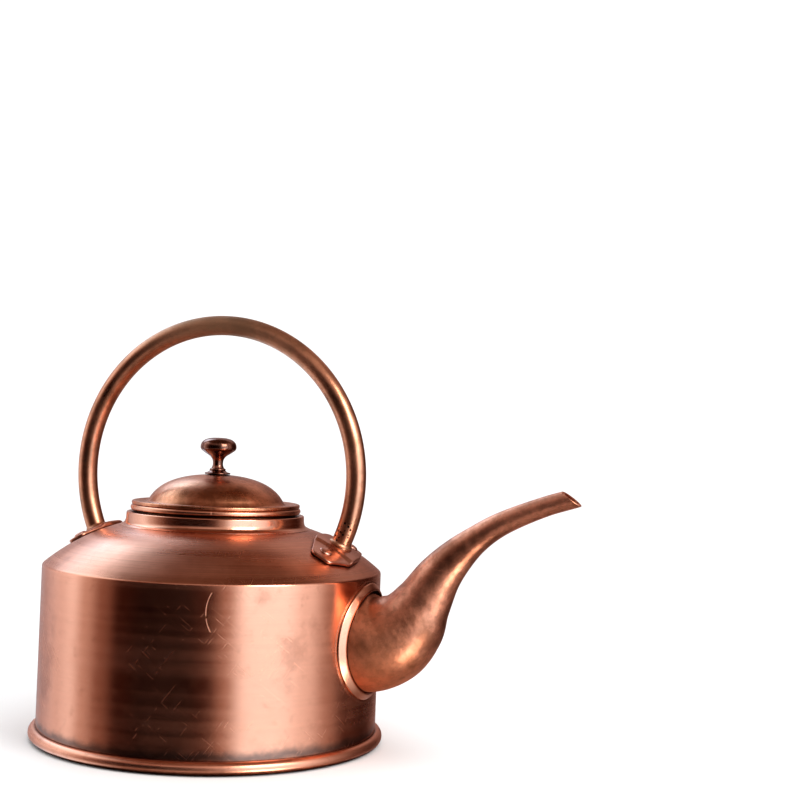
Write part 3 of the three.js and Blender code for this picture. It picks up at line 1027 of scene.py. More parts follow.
def dress(piece: bpy.types.Object, finish: Metal, body: str, slot: str, *nodes: str) -> bpy.types.Object:
    """Gives a made piece its finish and its place in the frame.

    Args:
        piece: The piece.
        finish: Its finish.
        body: The moving body that it rides on.
        slot: The record's material slot; not used.
        *nodes: Frame nodes that it stands for.

    Returns:
        The piece.
    """
    piece.data.materials.clear()
    piece.data.materials.append(finish.material())
    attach(piece, body)
    if nodes:
        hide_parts(*nodes)
    LOG.info("%s: %d faces, %s", piece.name, len(piece.data.polygons), finish.name)
    return piece


def refinish(node: str, finish: Metal) -> None:
    """Gives a frame node that stays in view a finish of its own.

    Args:
        node: Name of the frame node.
        finish: Its finish.
    """
    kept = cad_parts[node]
    if not kept.material_slots:
        kept.data.materials.append(finish.material())
    for holder in kept.material_slots:
        holder.link = "OBJECT"
        holder.material = finish.material()
    LOG.info("%s keeps its shape, %s", node, finish.name)


# The kettle's sub-assemblies; sizes in millimetres


@dataclass(frozen=True)
class Shoulder:
    """The sloping top of the drum, which the collar and the handle's feet follow."""

    corner_height: float = 92.3
    mouth_radius: float = 44.8
    rise: float = 23.5
    bulge: float = 6.6
    drum_radius: float = field(default_factory=lambda: high_corner("body_shell").y)

    def curve(self, share: float | np.ndarray) -> np.ndarray:
        """Radius and height at some shares of the way from the corner to the mouth.

        Args:
            share: The shares.

        Returns:
            The points in section, in millimetres.
        """
        corner = np.array([self.drum_radius, self.corner_height])
        mouth = np.array([self.mouth_radius, self.corner_height + self.rise])
        along = (mouth - corner) / np.linalg.norm(mouth - corner)
        pull = (corner + mouth) / 2 + self.bulge * np.array([along[1], -along[0]])
        t = np.asarray(share)[..., None]
        return (1 - t) ** 2 * corner + 2 * t * (1 - t) * pull + t * t * mouth

    def at_radius(self, radius: np.ndarray) -> tuple[np.ndarray, np.ndarray]:
        """Height and slope at some radii.

        Args:
            radius: Radii in millimetres.

        Returns:
            The heights, and the unit directions in section that point out of the face.
        """
        past_ends, count = 0.1, 2401
        shares = np.linspace(-past_ends, 1 + past_ends, count)
        points = self.curve(shares)
        heading = np.gradient(points, axis=0)
        outward = np.column_stack([heading[:, 1], -heading[:, 0]])
        outward /= np.linalg.norm(outward, axis=1)[:, None]
        order = np.argsort(points[:, 0])
        radii = points[order, 0]
        height = np.interp(radius, radii, points[order, 1])
        normal = np.stack([np.interp(radius, radii, outward[order, k]) for k in (0, 1)], axis=-1)
        return height, normal

    def drape(self, x: np.ndarray, y: np.ndarray, lift: np.ndarray) -> np.ndarray:
        """Lays plan points on the face, raised by a lift along its normal.

        Args:
            x: Plan coordinates in millimetres.
            y: Plan coordinates in millimetres.
            lift: Heights above the face in millimetres.

        Returns:
            The points in metres.
        """
        radius = np.hypot(x, y)
        height, normal = self.at_radius(radius)
        out = normal[..., 0] * lift / radius
        return np.stack([x * (1 + out), y * (1 + out), height + normal[..., 1] * lift], axis=-1) * MM


@dataclass
class Body:
    """Drum, rolled base, base solder and collar."""

    shoulder: Shoulder
    sheet_thickness: float = 1.4
    corner_bend: float = 1.0
    slope_length: float = 53.0
    pan_thickness: float = 1.2
    bead_radius: float = 3.3
    bead_offset: float = 0.5
    pad_inset: float = 7.2
    foot_step: float = 0.4
    collar_radius: float = 48.2
    collar_thickness: float = 1.2
    collar_taper: float = 0.15
    foot_width: float = 3.3
    foot_thickness: float = 0.12
    foot_clearance: float = 0.04
    spout_bore: float = 26.5
    lip_width: float = 4.6

    def drum(self) -> bpy.types.Object:
        """Straight wall, soft corner and crowned shoulder, with the bore for the spout.

        Returns:
            The piece.
        """
        radius = self.shoulder.drum_radius
        slope = self.shoulder.curve(np.linspace(self.corner_bend / self.slope_length, 1, 44))
        top = (radius, self.shoulder.corner_height - self.corner_bend)
        bend = quadratic(top, (radius, self.shoulder.corner_height), tuple(slope[0]), 12)
        foot = low_corner("body_shell").z
        wall = [(radius, foot + (top[1] - foot) * share) for share in np.linspace(0, 1, 24)[:-1]]
        section = sheet([*wall, *bend, *map(tuple, slope[1:])], self.sheet_thickness)
        drum = turned("drum", section, 360)
        self.cut_bore(drum)
        return dress(drum, DRUM_COPPER, KETTLE, "satin_copper", "body_shell")

    def cut_bore(self, drum: bpy.types.Object) -> None:
        """Cuts the hole that the spout's root fills.

        Args:
            drum: The drum, whose mesh is changed.
        """
        reach = 0.05
        low, high = low_corner("spout_flange"), high_corner("spout_flange")
        bpy.ops.mesh.primitive_cylinder_add(
            vertices=96, radius=self.spout_bore * MM, depth=reach, rotation=(0, math.pi / 2, 0),
            location=(self.shoulder.drum_radius * MM, 0, (low.z + high.z) / 2 * MM))
        cutter = bpy.context.object
        cut = drum.modifiers.new("bore", "BOOLEAN")
        cut.object = cutter
        cut.operation = "DIFFERENCE"
        cut.solver = "EXACT"
        evaluated = drum.evaluated_get(bpy.context.evaluated_depsgraph_get())
        mesh = bpy.data.meshes.new_from_object(evaluated)
        drum.modifiers.clear()
        drum.data = mesh
        bpy.data.objects.remove(cutter)

    def pan(self) -> bpy.types.Object:
        """Flat base whose edge rolls up and over a wire outside the wall.

        Returns:
            The piece.
        """
        radius = self.shoulder.drum_radius
        pad = radius - self.pad_inset
        centre = (radius + self.bead_offset, self.foot_step + self.bead_radius)
        flat = rounded([
            (0, 0, 0), (pad, 0, 0.8), (pad + 2, self.foot_step, 0.8), (centre[0], self.foot_step, 0)])
        roll = arc(centre, self.bead_radius, -90, 96, 28)[1:]
        pan = turned("base_rolled_pan", sheet([*flat, *roll], self.pan_thickness), 360)
        return dress(pan, PAN_COPPER, KETTLE, "satin_copper", "base_pan")

    def collar(self) -> bpy.types.Object:
        """Upright band on the shoulder, its foot thinned out to nothing and its top turned in.

        Returns:
            The piece.
        """
        outer, wall = self.collar_radius, self.collar_thickness
        top = high_corner("mouth_collar").z
        inner = np.linspace(outer - wall, outer + self.foot_width, 12)
        under = np.column_stack([inner, self.shoulder.at_radius(inner)[0] + self.foot_clearance])
        toe = (float(under[-1, 0]), float(under[-1, 1]) + self.foot_thickness)
        face = rounded([
            (*toe, 0), (outer + 0.9, toe[1] + 1.1, 0.9), (outer, toe[1] + 2.8, 1.3),
            (outer - self.collar_taper, top, 0.9),
            (outer - self.lip_width, top, 0.4), (outer - self.lip_width, top - wall, 0.4),
            (outer - wall - self.collar_taper, top - wall, 0.9), (*map(float, under[0]), 0)], 10)
        collar = turned("mouth_collar_band", [*face, *[tuple(point) for point in under[1:]], face[0]])
        return dress(collar, COLLAR_COPPER, KETTLE, "bright_copper", "mouth_collar")

    def build(self) -> None:
        """Makes and dresses every piece of the body."""
        self.drum()
        self.pan()
        self.collar()
        refinish("base_bead_wire", STEEL)
        refinish("base_solder_fillet", TIN)


@dataclass
class Spout:
    """Swan-neck spout with the ring round its root."""

    shoulder: Shoulder
    thickness: float = 1.2
    tip_reach: float = 106.5
    tip_rise: float = 80.1
    cut_tilt: float = 54.4
    cut_blend: float = 0.16
    ring_inner: float = 26.5
    ring_width: float = 3.9
    ring_height: float = 3.0
    groove: float = 0.7
    lip_width: float = 0.6
    lip_height: float = 0.16
    rim_ease: float = 0.25
    rim_pull: float = 0.3
    around: int = 96
    line: tuple[tuple[float, float, float], ...] = (
        (-7, 0, 26.2), (3.4, 0, 25.8), (13.6, 3.4, 23.6), (22.9, 11.6, 19.7), (29.8, 22.7, 15),
        (37.8, 36.5, 11.8), (47.2, 47.7, 9.3), (57.7, 57.1, 7.1), (69.8, 65.2, 6), (92, 75.2, 5.1),
        (106.5, 80.1, 4.97))

    def root_height(self) -> float:
        """Height of the centre of the root."""
        return (low_corner("spout_flange").z + high_corner("spout_flange").z) / 2

    def skin(self, inset: float, steps: int = 150) -> np.ndarray:
        """Rings along the pipe, the last of them on the slanted cut.

        Args:
            inset: How far inside the outer face the rings lie.
            steps: Number of stretches.

        Returns:
            Rows of points in metres.
        """
        path = smooth_line(self.line, steps)
        centres, radii = path[:, :2], path[:, 2] - inset
        heading = np.gradient(centres, axis=0)
        heading /= np.linalg.norm(heading, axis=1)[:, None]
        angles = full_turn(self.around)
        up = np.column_stack([-heading[:, 1], heading[:, 0]])
        flat = centres[:, None, :] + (radii[:, None] * np.cos(angles))[..., None] * up[:, None, :]
        side = radii[:, None] * np.sin(angles)
        tilt = math.radians(self.cut_tilt)
        facing = np.array([math.cos(tilt), math.sin(tilt)])
        tip = np.array([self.tip_reach, self.tip_rise])
        shift = ((tip - centres)[:, None, :] - (flat - centres[:, None, :])) @ facing
        shift -= (tip - centres) @ facing[:, None]
        shift = shift / (heading @ facing)[:, None]
        share = np.clip((np.linspace(0, 1, steps + 1) - 1 + self.cut_blend) / self.cut_blend, 0, 1) ** 2
        flat = flat + (share[:, None] * shift)[..., None] * heading[:, None, :]
        out = flat[..., 0] + self.shoulder.drum_radius
        return np.stack([out, side, flat[..., 1] + self.root_height()], axis=-1) * MM

    def pipe(self) -> bpy.types.Object:
        """The hollow pipe, its cut edge eased on both sides.

        Returns:
            The piece.
        """
        outer, inner = self.skin(0.0), self.skin(self.thickness)
        eased = outer[-1] + (inner[-1] - outer[-1]) * self.rim_ease
        outer[-1] = outer[-1] + (outer[-2] - outer[-1]) * self.rim_pull
        pulled = inner[-1] + (inner[-2] - inner[-1]) * self.rim_pull
        rim = np.stack([eased, inner[-1] + (outer[-1] - inner[-1]) * self.rim_ease, pulled])
        rows = np.concatenate([outer, rim, inner[-2::-1]])
        pipe = loft("spout_swan_neck", rows, wrap=True)
        return dress(pipe, SPOUT_COPPER, KETTLE, "brown_copper", "spout")

    def on_wall(self, section: Sequence[Point], name: str) -> bpy.types.Object:
        """Turns a section round the spout's root so that its back follows the drum.

        Args:
            section: Distance from the root's centre and height over the wall, in millimetres.
            name: Name of the object.

        Returns:
            The object.
        """
        angles = full_turn(192)
        section = np.array(section, float)
        across = np.outer(section[:, 0], np.cos(angles))
        up = np.outer(section[:, 0], np.sin(angles)) + self.root_height()
        out = np.sqrt(self.shoulder.drum_radius ** 2 - across ** 2) + section[:, 1:]
        return loft(name, np.stack([out, across, up], axis=-1) * MM)

    def ring(self) -> bpy.types.Object:
        """Ring round the root, with a sloping band between its edges.

        Returns:
            The piece.
        """
        inner, outer = self.ring_inner, self.ring_inner + self.ring_width
        face = rounded([
            (outer, -0.4, 0), (outer, 0.9, 0.5), (inner + 0.7, self.ring_height, 0.7),
            (inner, self.ring_height - 0.3, 0.3), (inner, -0.4, 0)], 8)
        ring = self.on_wall([*face, face[0]], "spout_root_ring")
        return dress(ring, RING_COPPER, KETTLE, "bright_copper", "spout_flange")

    def lip(self) -> bpy.types.Object:
        """Thin raised edge of the wall outside the ring's groove.

        Returns:
            The piece.
        """
        inner = self.ring_inner + self.ring_width + self.groove
        face = rounded([
            (inner + self.lip_width, -0.3, 0), (inner + self.lip_width, self.lip_height, 0.15),
            (inner, self.lip_height, 0.15), (inner, -0.3, 0)], 5)
        lip = self.on_wall([*face, face[0]], "spout_seat_edge")
        return dress(lip, DRUM_COPPER, KETTLE, "satin_copper")

    def build(self) -> None:
        """Makes and dresses the spout's pieces."""
        self.pipe()
        self.ring()
        self.lip()


class Foot(Enum):
    """Which end of the handle: its name and its turn round the kettle."""

    FRONT = ("front", 0.0)
    REAR = ("rear", math.pi)

    def __init__(self, label: str, turn: float) -> None:
        """Takes the end's name and its turn in radians."""
        self.label = label
        self.turn = turn


@dataclass
class Handle:
    """Fixed hoop with its two riveted feet."""

    shoulder: Shoulder
    tube_radius: float = 5.3
    tube_wall: float = 1.3
    foot_inset: float = 19.1
    bow: float = 9.1
    plate_gap: float = 0.3
    plate_thickness: float = 1.8
    plate_corners: tuple[Point, ...] = (
        (11.5, -11), (10.4, 3), (4.6, 22.5), (-3.6, 23.5),
        (-11.2, 6), (-11.5, -5), (-4.4, -26), (5.0, -25.6))
    plate_rounding: float = 2.4
    plate_edge: float = 0.8
    plate_raise: float = 1.3
    raise_reach: float = 12.0
    raise_fall: float = 3.5
    braze_width: float = 1.3
    braze_height: float = 1.6
    braze_depth: float = 1.4
    rivet_spacing: float = 18.0
    rivet_head_radius: float = 3.4
    rivet_head_height: float = 1.3
    rivet_radius: float = 1.9
    rivet_tail_depth: float = 6.0
    rivet_tail_radius: float = 2.7

    @property
    def foot_radius(self) -> float:
        """Distance of a foot from the kettle's axis."""
        return self.shoulder.drum_radius - self.foot_inset

    @property
    def hoop_radius(self) -> float:
        """Radius of the hoop's centre line."""
        return self.foot_radius + self.bow

    @property
    def hoop_height(self) -> float:
        """Height of the hoop's centre."""
        return high_corner("handle_hoop").z - self.tube_radius - self.hoop_radius

    @property
    def plate_top(self) -> float:
        """Height of the plate's top at the foot of the tube, before its middle is raised."""
        face = float(self.shoulder.at_radius(np.array(self.foot_radius))[0])
        return face + self.plate_gap + self.plate_thickness

    def lean(self, height: float) -> float:
        """How far under level, round the hoop's centre, the hoop reaches a height."""
        return math.asin((self.hoop_height - height) / self.hoop_radius)

    def hoop(self) -> bpy.types.Object:
        """Tube bent to part of a circle, open at both feet.

        Returns:
            The piece.
        """
        lean = self.lean(self.plate_top)
        along = np.linspace(-lean, math.pi + lean, 260)
        around = full_turn(56)

        def rings(radius: float) -> np.ndarray:
            """Rings of one radius along the hoop.

            Args:
                radius: Radius of the tube's face.

            Returns:
                Rows of points in metres.
            """
            out = self.hoop_radius + radius * np.cos(around)[None, :]
            return np.stack([
                out * np.cos(along)[:, None],
                np.broadcast_to(radius * np.sin(around), (len(along), len(around))),
                out * np.sin(along)[:, None] + self.hoop_height,
            ], axis=-1) * MM

        rows = np.concatenate([rings(self.tube_radius), rings(self.tube_radius - self.tube_wall)[::-1]])
        hoop = loft("handle_tube_hoop", rows, wrap=True)
        return dress(hoop, HANDLE_COPPER, KETTLE, "brown_copper", "handle_hoop")

    def plate_reach(self, angles: np.ndarray) -> np.ndarray:
        """Distance from the tube's foot to the plate's edge.

        Args:
            angles: Directions in plan, 0 straight out from the kettle.

        Returns:
            The distances.
        """
        corners = [(*corner, self.plate_rounding) for corner in self.plate_corners]
        start = tuple((a + b) / 2 for a, b in zip(corners[0][:2], corners[-1][:2]))
        loop = np.array(rounded([(*start, 0), *corners, (*start, 0)], 12))
        shares = np.linspace(0, 1, 60, endpoint=False)[:, None]
        dense = np.vstack([a + (b - a) * shares for a, b in zip(loop[:-1], loop[1:])])
        turn = np.arctan2(dense[:, 1], dense[:, 0]) % TURN
        order = np.argsort(turn)
        reach = np.hypot(dense[:, 0], dense[:, 1])
        return np.interp(angles, turn[order], reach[order], period=TURN)

    def plate(self, foot: Foot) -> bpy.types.Object:
        """Plate beaten to the shoulder's curve, raised in its middle under the tube.

        Args:
            foot: Which end of the handle.

        Returns:
            The piece.
        """
        angles = full_turn(288)
        reach = self.plate_reach(angles)
        gap, top = self.plate_gap, self.plate_gap + self.plate_thickness
        edge = [
            (0.35, gap), (0.1, gap + 0.15), (0.0, gap + 0.45), (0.0, top - 0.6), (0.12, top - 0.25),
            (0.4, top - 0.06), (self.plate_edge, top)]
        centre = np.zeros_like(angles)
        rows = [(angles, centre, gap), (angles, reach * 0.5, gap)]
        rows += [(angles, reach - inset, lift) for inset, lift in edge]
        rows += [(angles, (reach - self.plate_edge) * share, top) for share in np.linspace(0.97, 0.12, 26)]
        rows.append((angles, centre, top))
        points = []
        for turn, distance, lift in rows:
            x = self.foot_radius + distance * np.cos(turn)
            y = distance * np.sin(turn)
            hump = np.clip((self.raise_reach - np.abs(y)) / self.raise_fall, 0, 1)
            hump = hump * hump * (3 - 2 * hump) * np.clip((lift - gap) / self.plate_thickness, 0, 1)
            points.append(self.shoulder.drape(x, y, lift + self.plate_raise * hump))
        plate = loft(f"handle_plate_{foot.label}", self.turned_to(np.stack(points), foot))
        return dress(plate, PLATE_COPPER, KETTLE, "satin_copper", f"handle_bracket_{foot.label}")

    def turned_to(self, points: np.ndarray, foot: Foot) -> np.ndarray:
        """Turns points made at the front foot to either foot.

        Args:
            points: The points, their coordinates in the last axis.
            foot: Which end of the handle.

        Returns:
            The turned points.
        """
        cosine, sine = math.cos(foot.turn), math.sin(foot.turn)
        spin = np.array([[cosine, -sine, 0], [sine, cosine, 0], [0, 0, 1]])
        return points @ spin.T

    def braze(self, foot: Foot) -> bpy.types.Object:
        """Hollow-sided ring of braze where the tube meets the plate.

        Args:
            foot: Which end of the handle.

        Returns:
            The piece.
        """
        inner, outer = self.tube_radius + 0.02, self.tube_radius + self.braze_width
        face = quadratic((outer, 0), (inner + 0.35, 0.4), (inner + 0.12, self.braze_height), 10)
        bottom = [(inner, -self.braze_depth), (outer, -self.braze_depth)]
        rows = turned_rows([*bottom, *face, (inner, self.braze_height), bottom[0]], 96)
        height = self.plate_top + self.plate_raise
        lean = self.lean(height)
        rolled = np.array(Matrix.Rotation(lean, 3, "Y"))
        centre = np.array([self.hoop_radius * math.cos(lean), 0, height])
        braze = loft(f"handle_braze_{foot.label}", self.turned_to((rows @ rolled.T + centre) * MM, foot))
        return dress(braze, BRAZE, KETTLE, "braze_brass", f"handle_braze_ring_{foot.label}")

    def rivet(self, foot: Foot, side: str, sign: int) -> bpy.types.Object:
        """Domed rivet through the plate and the shoulder.

        Args:
            foot: Which end of the handle.
            side: Name of the side of the tube.
            sign: 1 for the side on the left, looking out from the kettle's axis, or -1.

        Returns:
            The piece.
        """
        radius = math.hypot(self.foot_radius, self.rivet_spacing)
        height, normal = self.shoulder.at_radius(np.array(radius))
        seat = self.plate_gap + self.plate_thickness + 0.02
        head, high = self.rivet_head_radius, self.rivet_head_height
        tail, deep = self.rivet_tail_radius, self.rivet_tail_depth
        section = [
            (0, -deep), *quadratic((0, -deep), (tail, -deep), (tail, -deep + 1), 6),
            (self.rivet_radius, -deep + 1), (self.rivet_radius, 0), (head, 0), (head, 0.25),
            *quadratic((head, 0.25), (head * 0.86, high), (0, high), 12)]
        rows = turned_rows([(x, y + seat) for x, y in section], 48)
        tilt = np.array(Matrix.Rotation(math.atan2(normal[0], normal[1]), 3, "Y"))
        swing = np.array(Matrix.Rotation(sign * math.atan2(self.rivet_spacing, self.foot_radius), 3, "Z"))
        points = (rows @ tilt.T + np.array([radius, 0, float(height)])) @ swing.T * MM
        name = f"{foot.label}_{side}"
        rivet = loft(f"plate_rivet_{name}", self.turned_to(points, foot))
        return dress(rivet, RIVET_COPPER, KETTLE, "bright_copper", f"bracket_rivet_{name}")

    def build(self) -> None:
        """Makes and dresses the hoop and both feet."""
        self.hoop()
        for foot in Foot:
            self.plate(foot)
            self.braze(foot)
            for side, sign in (("left", 1), ("right", -1)):
                self.rivet(foot, side, sign)
                refinish(f"rivet_burr_{foot.label}_{side}", RIVET_COPPER)


@dataclass
class Lid:
    """Lift-off lid: cover, rim bead, skirt and turned knob."""

    thickness: float = 1.2
    bead_radius: float = 1.85
    joint_azimuth: float = -66.0
    joint_depth: float = 0.08
    joint_width: float = 0.25
    ledge_height: float = 5.4
    dome_radius: float = 37.3
    dome_height: float = 15.2
    dome_foot: float = 6.7
    dome_fullness: float = 0.76
    skirt_thickness: float = 1.1
    skirt_taper: float = 0.6
    knob_bore: float = 2.1
    knob_height: float = 19.9
    socket_depth: float = 5.3

    @property
    def seat(self) -> float:
        """Height of the collar's lip under the lid."""
        return low_corner("lid_rim_ring").z

    @property
    def rim_radius(self) -> float:
        """Radius of the rim bead's centre line."""
        return high_corner("lid_rim_ring").y - self.bead_radius

    def lifted(self, outline: Sequence[Point]) -> list[Point]:
        """An outline over the seat, moved up to its place."""
        return [(x, y + self.seat) for x, y in outline]

    def cover(self) -> bpy.types.Object:
        """Rolled edge, shallow channel and dome, with the hole for the stud.

        Returns:
            The piece.
        """
        edge = self.rim_radius + self.bead_radius
        top = self.ledge_height + self.dome_height
        start = (self.dome_radius - 1.0, self.dome_foot)
        rim = rounded([
            (edge - 1.3, 3.3, 0), (edge - 0.55, 3.75, 0.4), (edge - 0.45, 5.4, 0.9), (edge - 2.4, 5.75, 1.0),
            (edge - 5.4, 5.0, 1.2), (self.dome_radius + 0.4, 5.05, 0.8), (*start, 0)], 6)
        crown = (self.dome_fullness * self.dome_radius + 0.3, top - 0.1)
        dome = quadratic(start, crown, (0.0, top), 40)
        dome = [p for p in dome if p[0] > self.knob_bore] + [(self.knob_bore, top)]
        cover = turned("lid_domed_cover", self.lifted(sheet([*rim, *dome[1:]], self.thickness)))
        return dress(cover, LID_COPPER, LID, "satin_copper", "lid_dome")

    def bead(self) -> bpy.types.Object:
        """Wire ring round the rim, its ends butted at the front.

        Returns:
            The piece.
        """
        angles, around = full_turn(720), full_turn(24)
        joint = math.radians(self.joint_azimuth)
        away = np.abs((angles - joint + math.pi) % TURN - math.pi) * self.rim_radius
        radius = self.bead_radius * (1 - self.joint_depth * np.exp(-(away / self.joint_width) ** 2))
        out = self.rim_radius + radius[None, :] * np.cos(around)[:, None]
        height = self.bead_radius + self.seat + radius[None, :] * np.sin(around)[:, None]
        rows = np.stack([out * np.cos(angles), out * np.sin(angles), height], axis=-1) * MM
        bead = loft("lid_rim_bead", rows, wrap=True)
        return dress(bead, RING_COPPER, LID, "bright_copper", "lid_rim_ring")

    def skirt(self) -> bpy.types.Object:
        """Band under the lid that slides into the collar.

        Returns:
            The piece.
        """
        low, high = low_corner("lid_skirt").z, high_corner("lid_skirt").z
        outer = high_corner("lid_skirt").y
        inner = outer - self.skirt_thickness
        mid = outer - self.skirt_thickness / 2
        face = rounded([
            (inner - self.skirt_taper, low + 0.3, 0), (mid - self.skirt_taper, low, 0.4),
            (outer - self.skirt_taper, low + 0.3, 0.3), (outer, self.seat, 2), (outer, high, 0.3),
            (inner, high, 0.3), (inner, self.seat, 2), (inner - self.skirt_taper, low + 0.3, 0)], 5)
        skirt = turned("lid_skirt_band", face)
        return dress(skirt, LID_COPPER, LID, "satin_copper", "lid_skirt")

    def knob(self) -> bpy.types.Object:
        """Mushroom knob with a stepped foot and a bead at its waist.

        Returns:
            The piece.
        """
        foot = rounded([
            (self.knob_bore, 0, 0), (6.95, 0, 0.3), (6.95, 0.75, 0.25), (5.2, 1.15, 0.5), (4.4, 1.9, 0)], 4)
        ring = quadratic((4.1, 1.9), (4.7, 2.5), (4.0, 3.1), 6)
        stem = smooth_line([
            (3.5, 3.2), (2.9, 4.6), (2.75, 6.0), (3.05, 7.9), (4.2, 9.6), (7.3, 11.7),
            (9.5, 13.6), (9.75, 15.2), (9.1, 17.2), (7.2, 18.8), (4.0, 19.7), (0.0, self.knob_height)], 64)
        base = low_corner("lid_knob").z
        socket = [(0.0, self.socket_depth), (self.knob_bore, self.socket_depth)]
        section = [(x, y + base) for x, y in [*socket, *foot, *ring, *map(tuple, stem)]]
        knob = turned("lid_turned_knob", section, 128)
        return dress(knob, KNOB_COPPER, LID, "dark_copper", "lid_knob")

    def build(self) -> None:
        """Makes and dresses every piece of the lid."""
        self.cover()
        self.bead()
        self.skirt()
        self.knob()
        refinish("knob_stud", STEEL)
        refinish("knob_washer", BRAZE)
        refinish("knob_nut", BRAZE)


# Stage


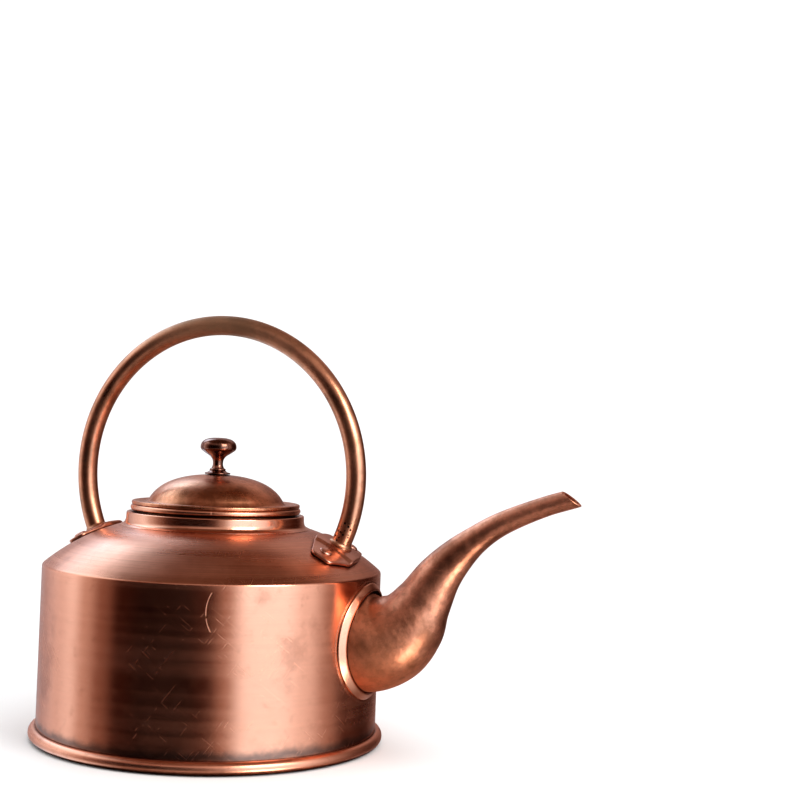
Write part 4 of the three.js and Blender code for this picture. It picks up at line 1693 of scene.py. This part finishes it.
@dataclass
class Studio:
    """Camera, pale floor and soft light."""

    azimuth: float = 26.5
    distance: float = 0.80985
    height: float = 0.17276
    yaw: float = 0.12138
    pitch: float = 0.017534
    roll: float = 0.038189
    lens: float = 66.17
    pale: tuple[float, float, float, float] = (0.93, 0.93, 0.93, 1)
    level_stops: tuple[tuple[float, float], ...] = (
        (-180, 0.4), (-150, 0.5), (-120, 0.8), (-104, 1.0), (-90, 0.6), (-76, 0.26), (-62, 0.04),
        (-45, 0.01), (-16, 0.01), (-2, 0.05), (10, 0.4), (24, 1.25), (48, 1.25), (66, 0.95), (86, 0.42),
        (102, 0.08), (130, 0.04), (160, 0.25), (180, 0.4))
    raised_stops: tuple[tuple[float, float], ...] = (
        (-180, 0.4), (-160, 1.8), (-130, 1.4), (-100, 1.1), (-60, 0.3), (0, 0.5), (60, 0.75), (110, 0.25),
        (160, 0.5), (180, 0.4))
    overhead: float = 0.13
    floor_near: float = 0.25
    floor_far: float = 1.6
    floor_half_side: float = 6.0
    light_distance: float = 1.6
    aim_height: float = 0.1

    def camera(self) -> None:
        """Places the camera."""
        turn = math.radians(self.azimuth)
        away = Vector((math.sin(turn), -math.cos(turn), 0))
        right = Vector((math.cos(turn), math.sin(turn), 0))
        up = Vector((0, 0, 1))
        heading = (
            right * math.sin(self.yaw) * math.cos(self.pitch)
            - away * math.cos(self.yaw) * math.cos(self.pitch)
            + up * math.sin(self.pitch))
        level = heading.cross(up).normalized()
        rise = level.cross(heading)
        side = level * math.cos(self.roll) + rise * math.sin(self.roll)
        top = rise * math.cos(self.roll) - level * math.sin(self.roll)
        data = bpy.data.cameras.new("camera")
        data.lens = self.lens
        data.sensor_width = 36.0
        data.clip_start, data.clip_end = 0.01, 50.0
        camera = bpy.data.objects.new("camera", data)
        turned_to = Matrix((side, top, -heading)).transposed().to_4x4()
        camera.matrix_world = Matrix.Translation(away * self.distance + up * self.height) @ turned_to
        bpy.context.scene.collection.objects.link(camera)
        bpy.context.scene.camera = camera

    def warm(
            self, value: float, green_gain: float, green_power: float, blue_gain: float, blue_power: float,
    ) -> tuple[float, float, float, float]:
        """Light of a brightness, redder where it is dim.

        Args:
            value: Its red part.
            green_gain: Green part of full brightness.
            green_power: How fast green falls with brightness.
            blue_gain: Blue part of full brightness.
            blue_power: How fast blue falls with brightness.

        Returns:
            The colour.
        """
        return (value, green_gain * value ** green_power, blue_gain * value ** blue_power, 1)

    def azimuth_ramp(self, tree: Tree, share: object, stops: Sequence[Point]) -> bpy.types.NodeSocket:
        """Brightness round the horizon.

        Args:
            tree: The world's tree.
            share: Direction as a share of the turn.
            stops: Degrees from the camera's side, and brightness.

        Returns:
            The brightness.
        """
        made = tree.node("ValToRGB", Fac=share)
        made.color_ramp.interpolation = "EASE"
        elements = made.color_ramp.elements
        elements.remove(elements[-1])
        for i, (degrees, value) in enumerate(stops):
            stop = elements[0] if i == 0 else elements.new((degrees + 180) / 360)
            stop.color = self.warm(value, 1.18, 1.4, 1.42, 1.6)
        return made.outputs["Color"]

    def world(self) -> None:
        """Plain pale surroundings, and the light and dark ones that the metal reflects."""
        world = bpy.data.worlds.new("studio")
        bpy.context.scene.world = world
        world.use_nodes = True
        world.cycles.sampling_method = "NONE"
        tree = Tree(world.node_tree)
        back = world.node_tree.nodes["Background"]
        x, y, z = tree.split(tree.node("TexCoord").outputs["Generated"])
        start = math.radians(self.azimuth - 90)
        turn = tree.math("WRAP", tree.minus(tree.math("ARCTAN2", y, x), start), math.pi, -math.pi)
        share = tree.plus(tree.math("DIVIDE", turn, TURN), 0.5)
        level = self.azimuth_ramp(tree, share, self.level_stops)
        raised = self.azimuth_ramp(tree, share, self.raised_stops)
        low = tree.mix(tree.ramp(z, 0.3, 0.6), level, raised)
        lit = tree.mix(tree.ramp(z, 0.68, 0.85), low, self.warm(self.overhead, 1, 1.25, 1, 1.4))
        rays = tree.node("LightPath").outputs
        tree.feed(back.inputs["Color"], tree.mix(rays["Is Glossy Ray"], self.pale, lit))

    def floor(self) -> None:
        """A wide pale floor that fades out, glossy where the metal reflects it."""
        half = self.floor_half_side
        corners = [(-half, -half, 0), (half, -half, 0), (half, half, 0), (-half, half, 0)]
        mesh = bpy.data.meshes.new("floor")
        mesh.from_pydata(corners, [], [(0, 1, 2, 3)])
        floor = bpy.data.objects.new("floor", mesh)
        bpy.context.scene.collection.objects.link(floor)
        made = bpy.data.materials.new("pale_floor")
        made.use_nodes = True
        tree = Tree(made.node_tree)
        pale = made.node_tree.nodes["Principled BSDF"]
        pale.inputs["Base Color"].default_value = (0.86, 0.855, 0.85, 1)
        pale.inputs["Roughness"].default_value = 0.6
        glossy = tree.node("BsdfGlossy", Color=(0.85, 0.85, 0.85, 1), Roughness=0.1)
        both = tree.blend(tree.node("LightPath").outputs["Is Glossy Ray"], pale, glossy)
        away = tree.node("VectorMath", operation="LENGTH")
        tree.feed(away.inputs[0], tree.node("TexCoord").outputs["Object"])
        far = tree.ramp(away.outputs["Value"], self.floor_near, self.floor_far)
        fading = tree.blend(far, both, tree.node("BsdfTransparent"))
        out = made.node_tree.nodes["Material Output"]
        tree.feed(out.inputs["Surface"], fading.outputs[0])
        mesh.materials.append(made)

    def softbox(
            self, name: str, azimuth: float, elevation: float, size: float, power: float, shown: bool,
    ) -> None:
        """Adds a square soft light aimed at the kettle.

        Args:
            name: Name of the light.
            azimuth: Degrees to the right of the camera, round the kettle.
            elevation: Degrees above level.
            size: Length of its side in metres.
            power: In watts.
            shown: Whether the metal reflects it.
        """
        data = bpy.data.lights.new(name, "AREA")
        data.size = size
        data.energy = power
        light = bpy.data.objects.new(name, data)
        turn, rise = math.radians(self.azimuth + azimuth), math.radians(elevation)
        way = Vector((math.sin(turn) * math.cos(rise), -math.cos(turn) * math.cos(rise), math.sin(rise)))
        light.location = way * self.light_distance + Vector((0, 0, self.aim_height))
        light.rotation_mode = "QUATERNION"
        light.rotation_quaternion = way.to_track_quat("Z", "Y")
        light.visible_glossy = shown
        bpy.context.scene.collection.objects.link(light)

    def build(self) -> None:
        """Sets up the whole studio."""
        self.camera()
        self.world()
        self.floor()
        self.softbox("overhead_softbox", azimuth=20, elevation=75, size=1.6, power=8, shown=False)
        self.softbox("key_softbox", azimuth=40, elevation=32, size=0.7, power=9, shown=True)
        view = bpy.context.scene.view_settings
        view.view_transform = "Standard"
        view.look = "Medium High Contrast"


def main() -> None:
    """Builds the studio and the kettle, one sub-assembly after another."""
    logging.basicConfig(level=logging.INFO, format="%(message)s")
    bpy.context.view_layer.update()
    Studio().build()
    shoulder = Shoulder()
    for part in (Body(shoulder), Spout(shoulder), Handle(shoulder), Lid()):
        part.build()
        LOG.info("%s is built", type(part).__name__)


if __name__ == "__main__":
    main()
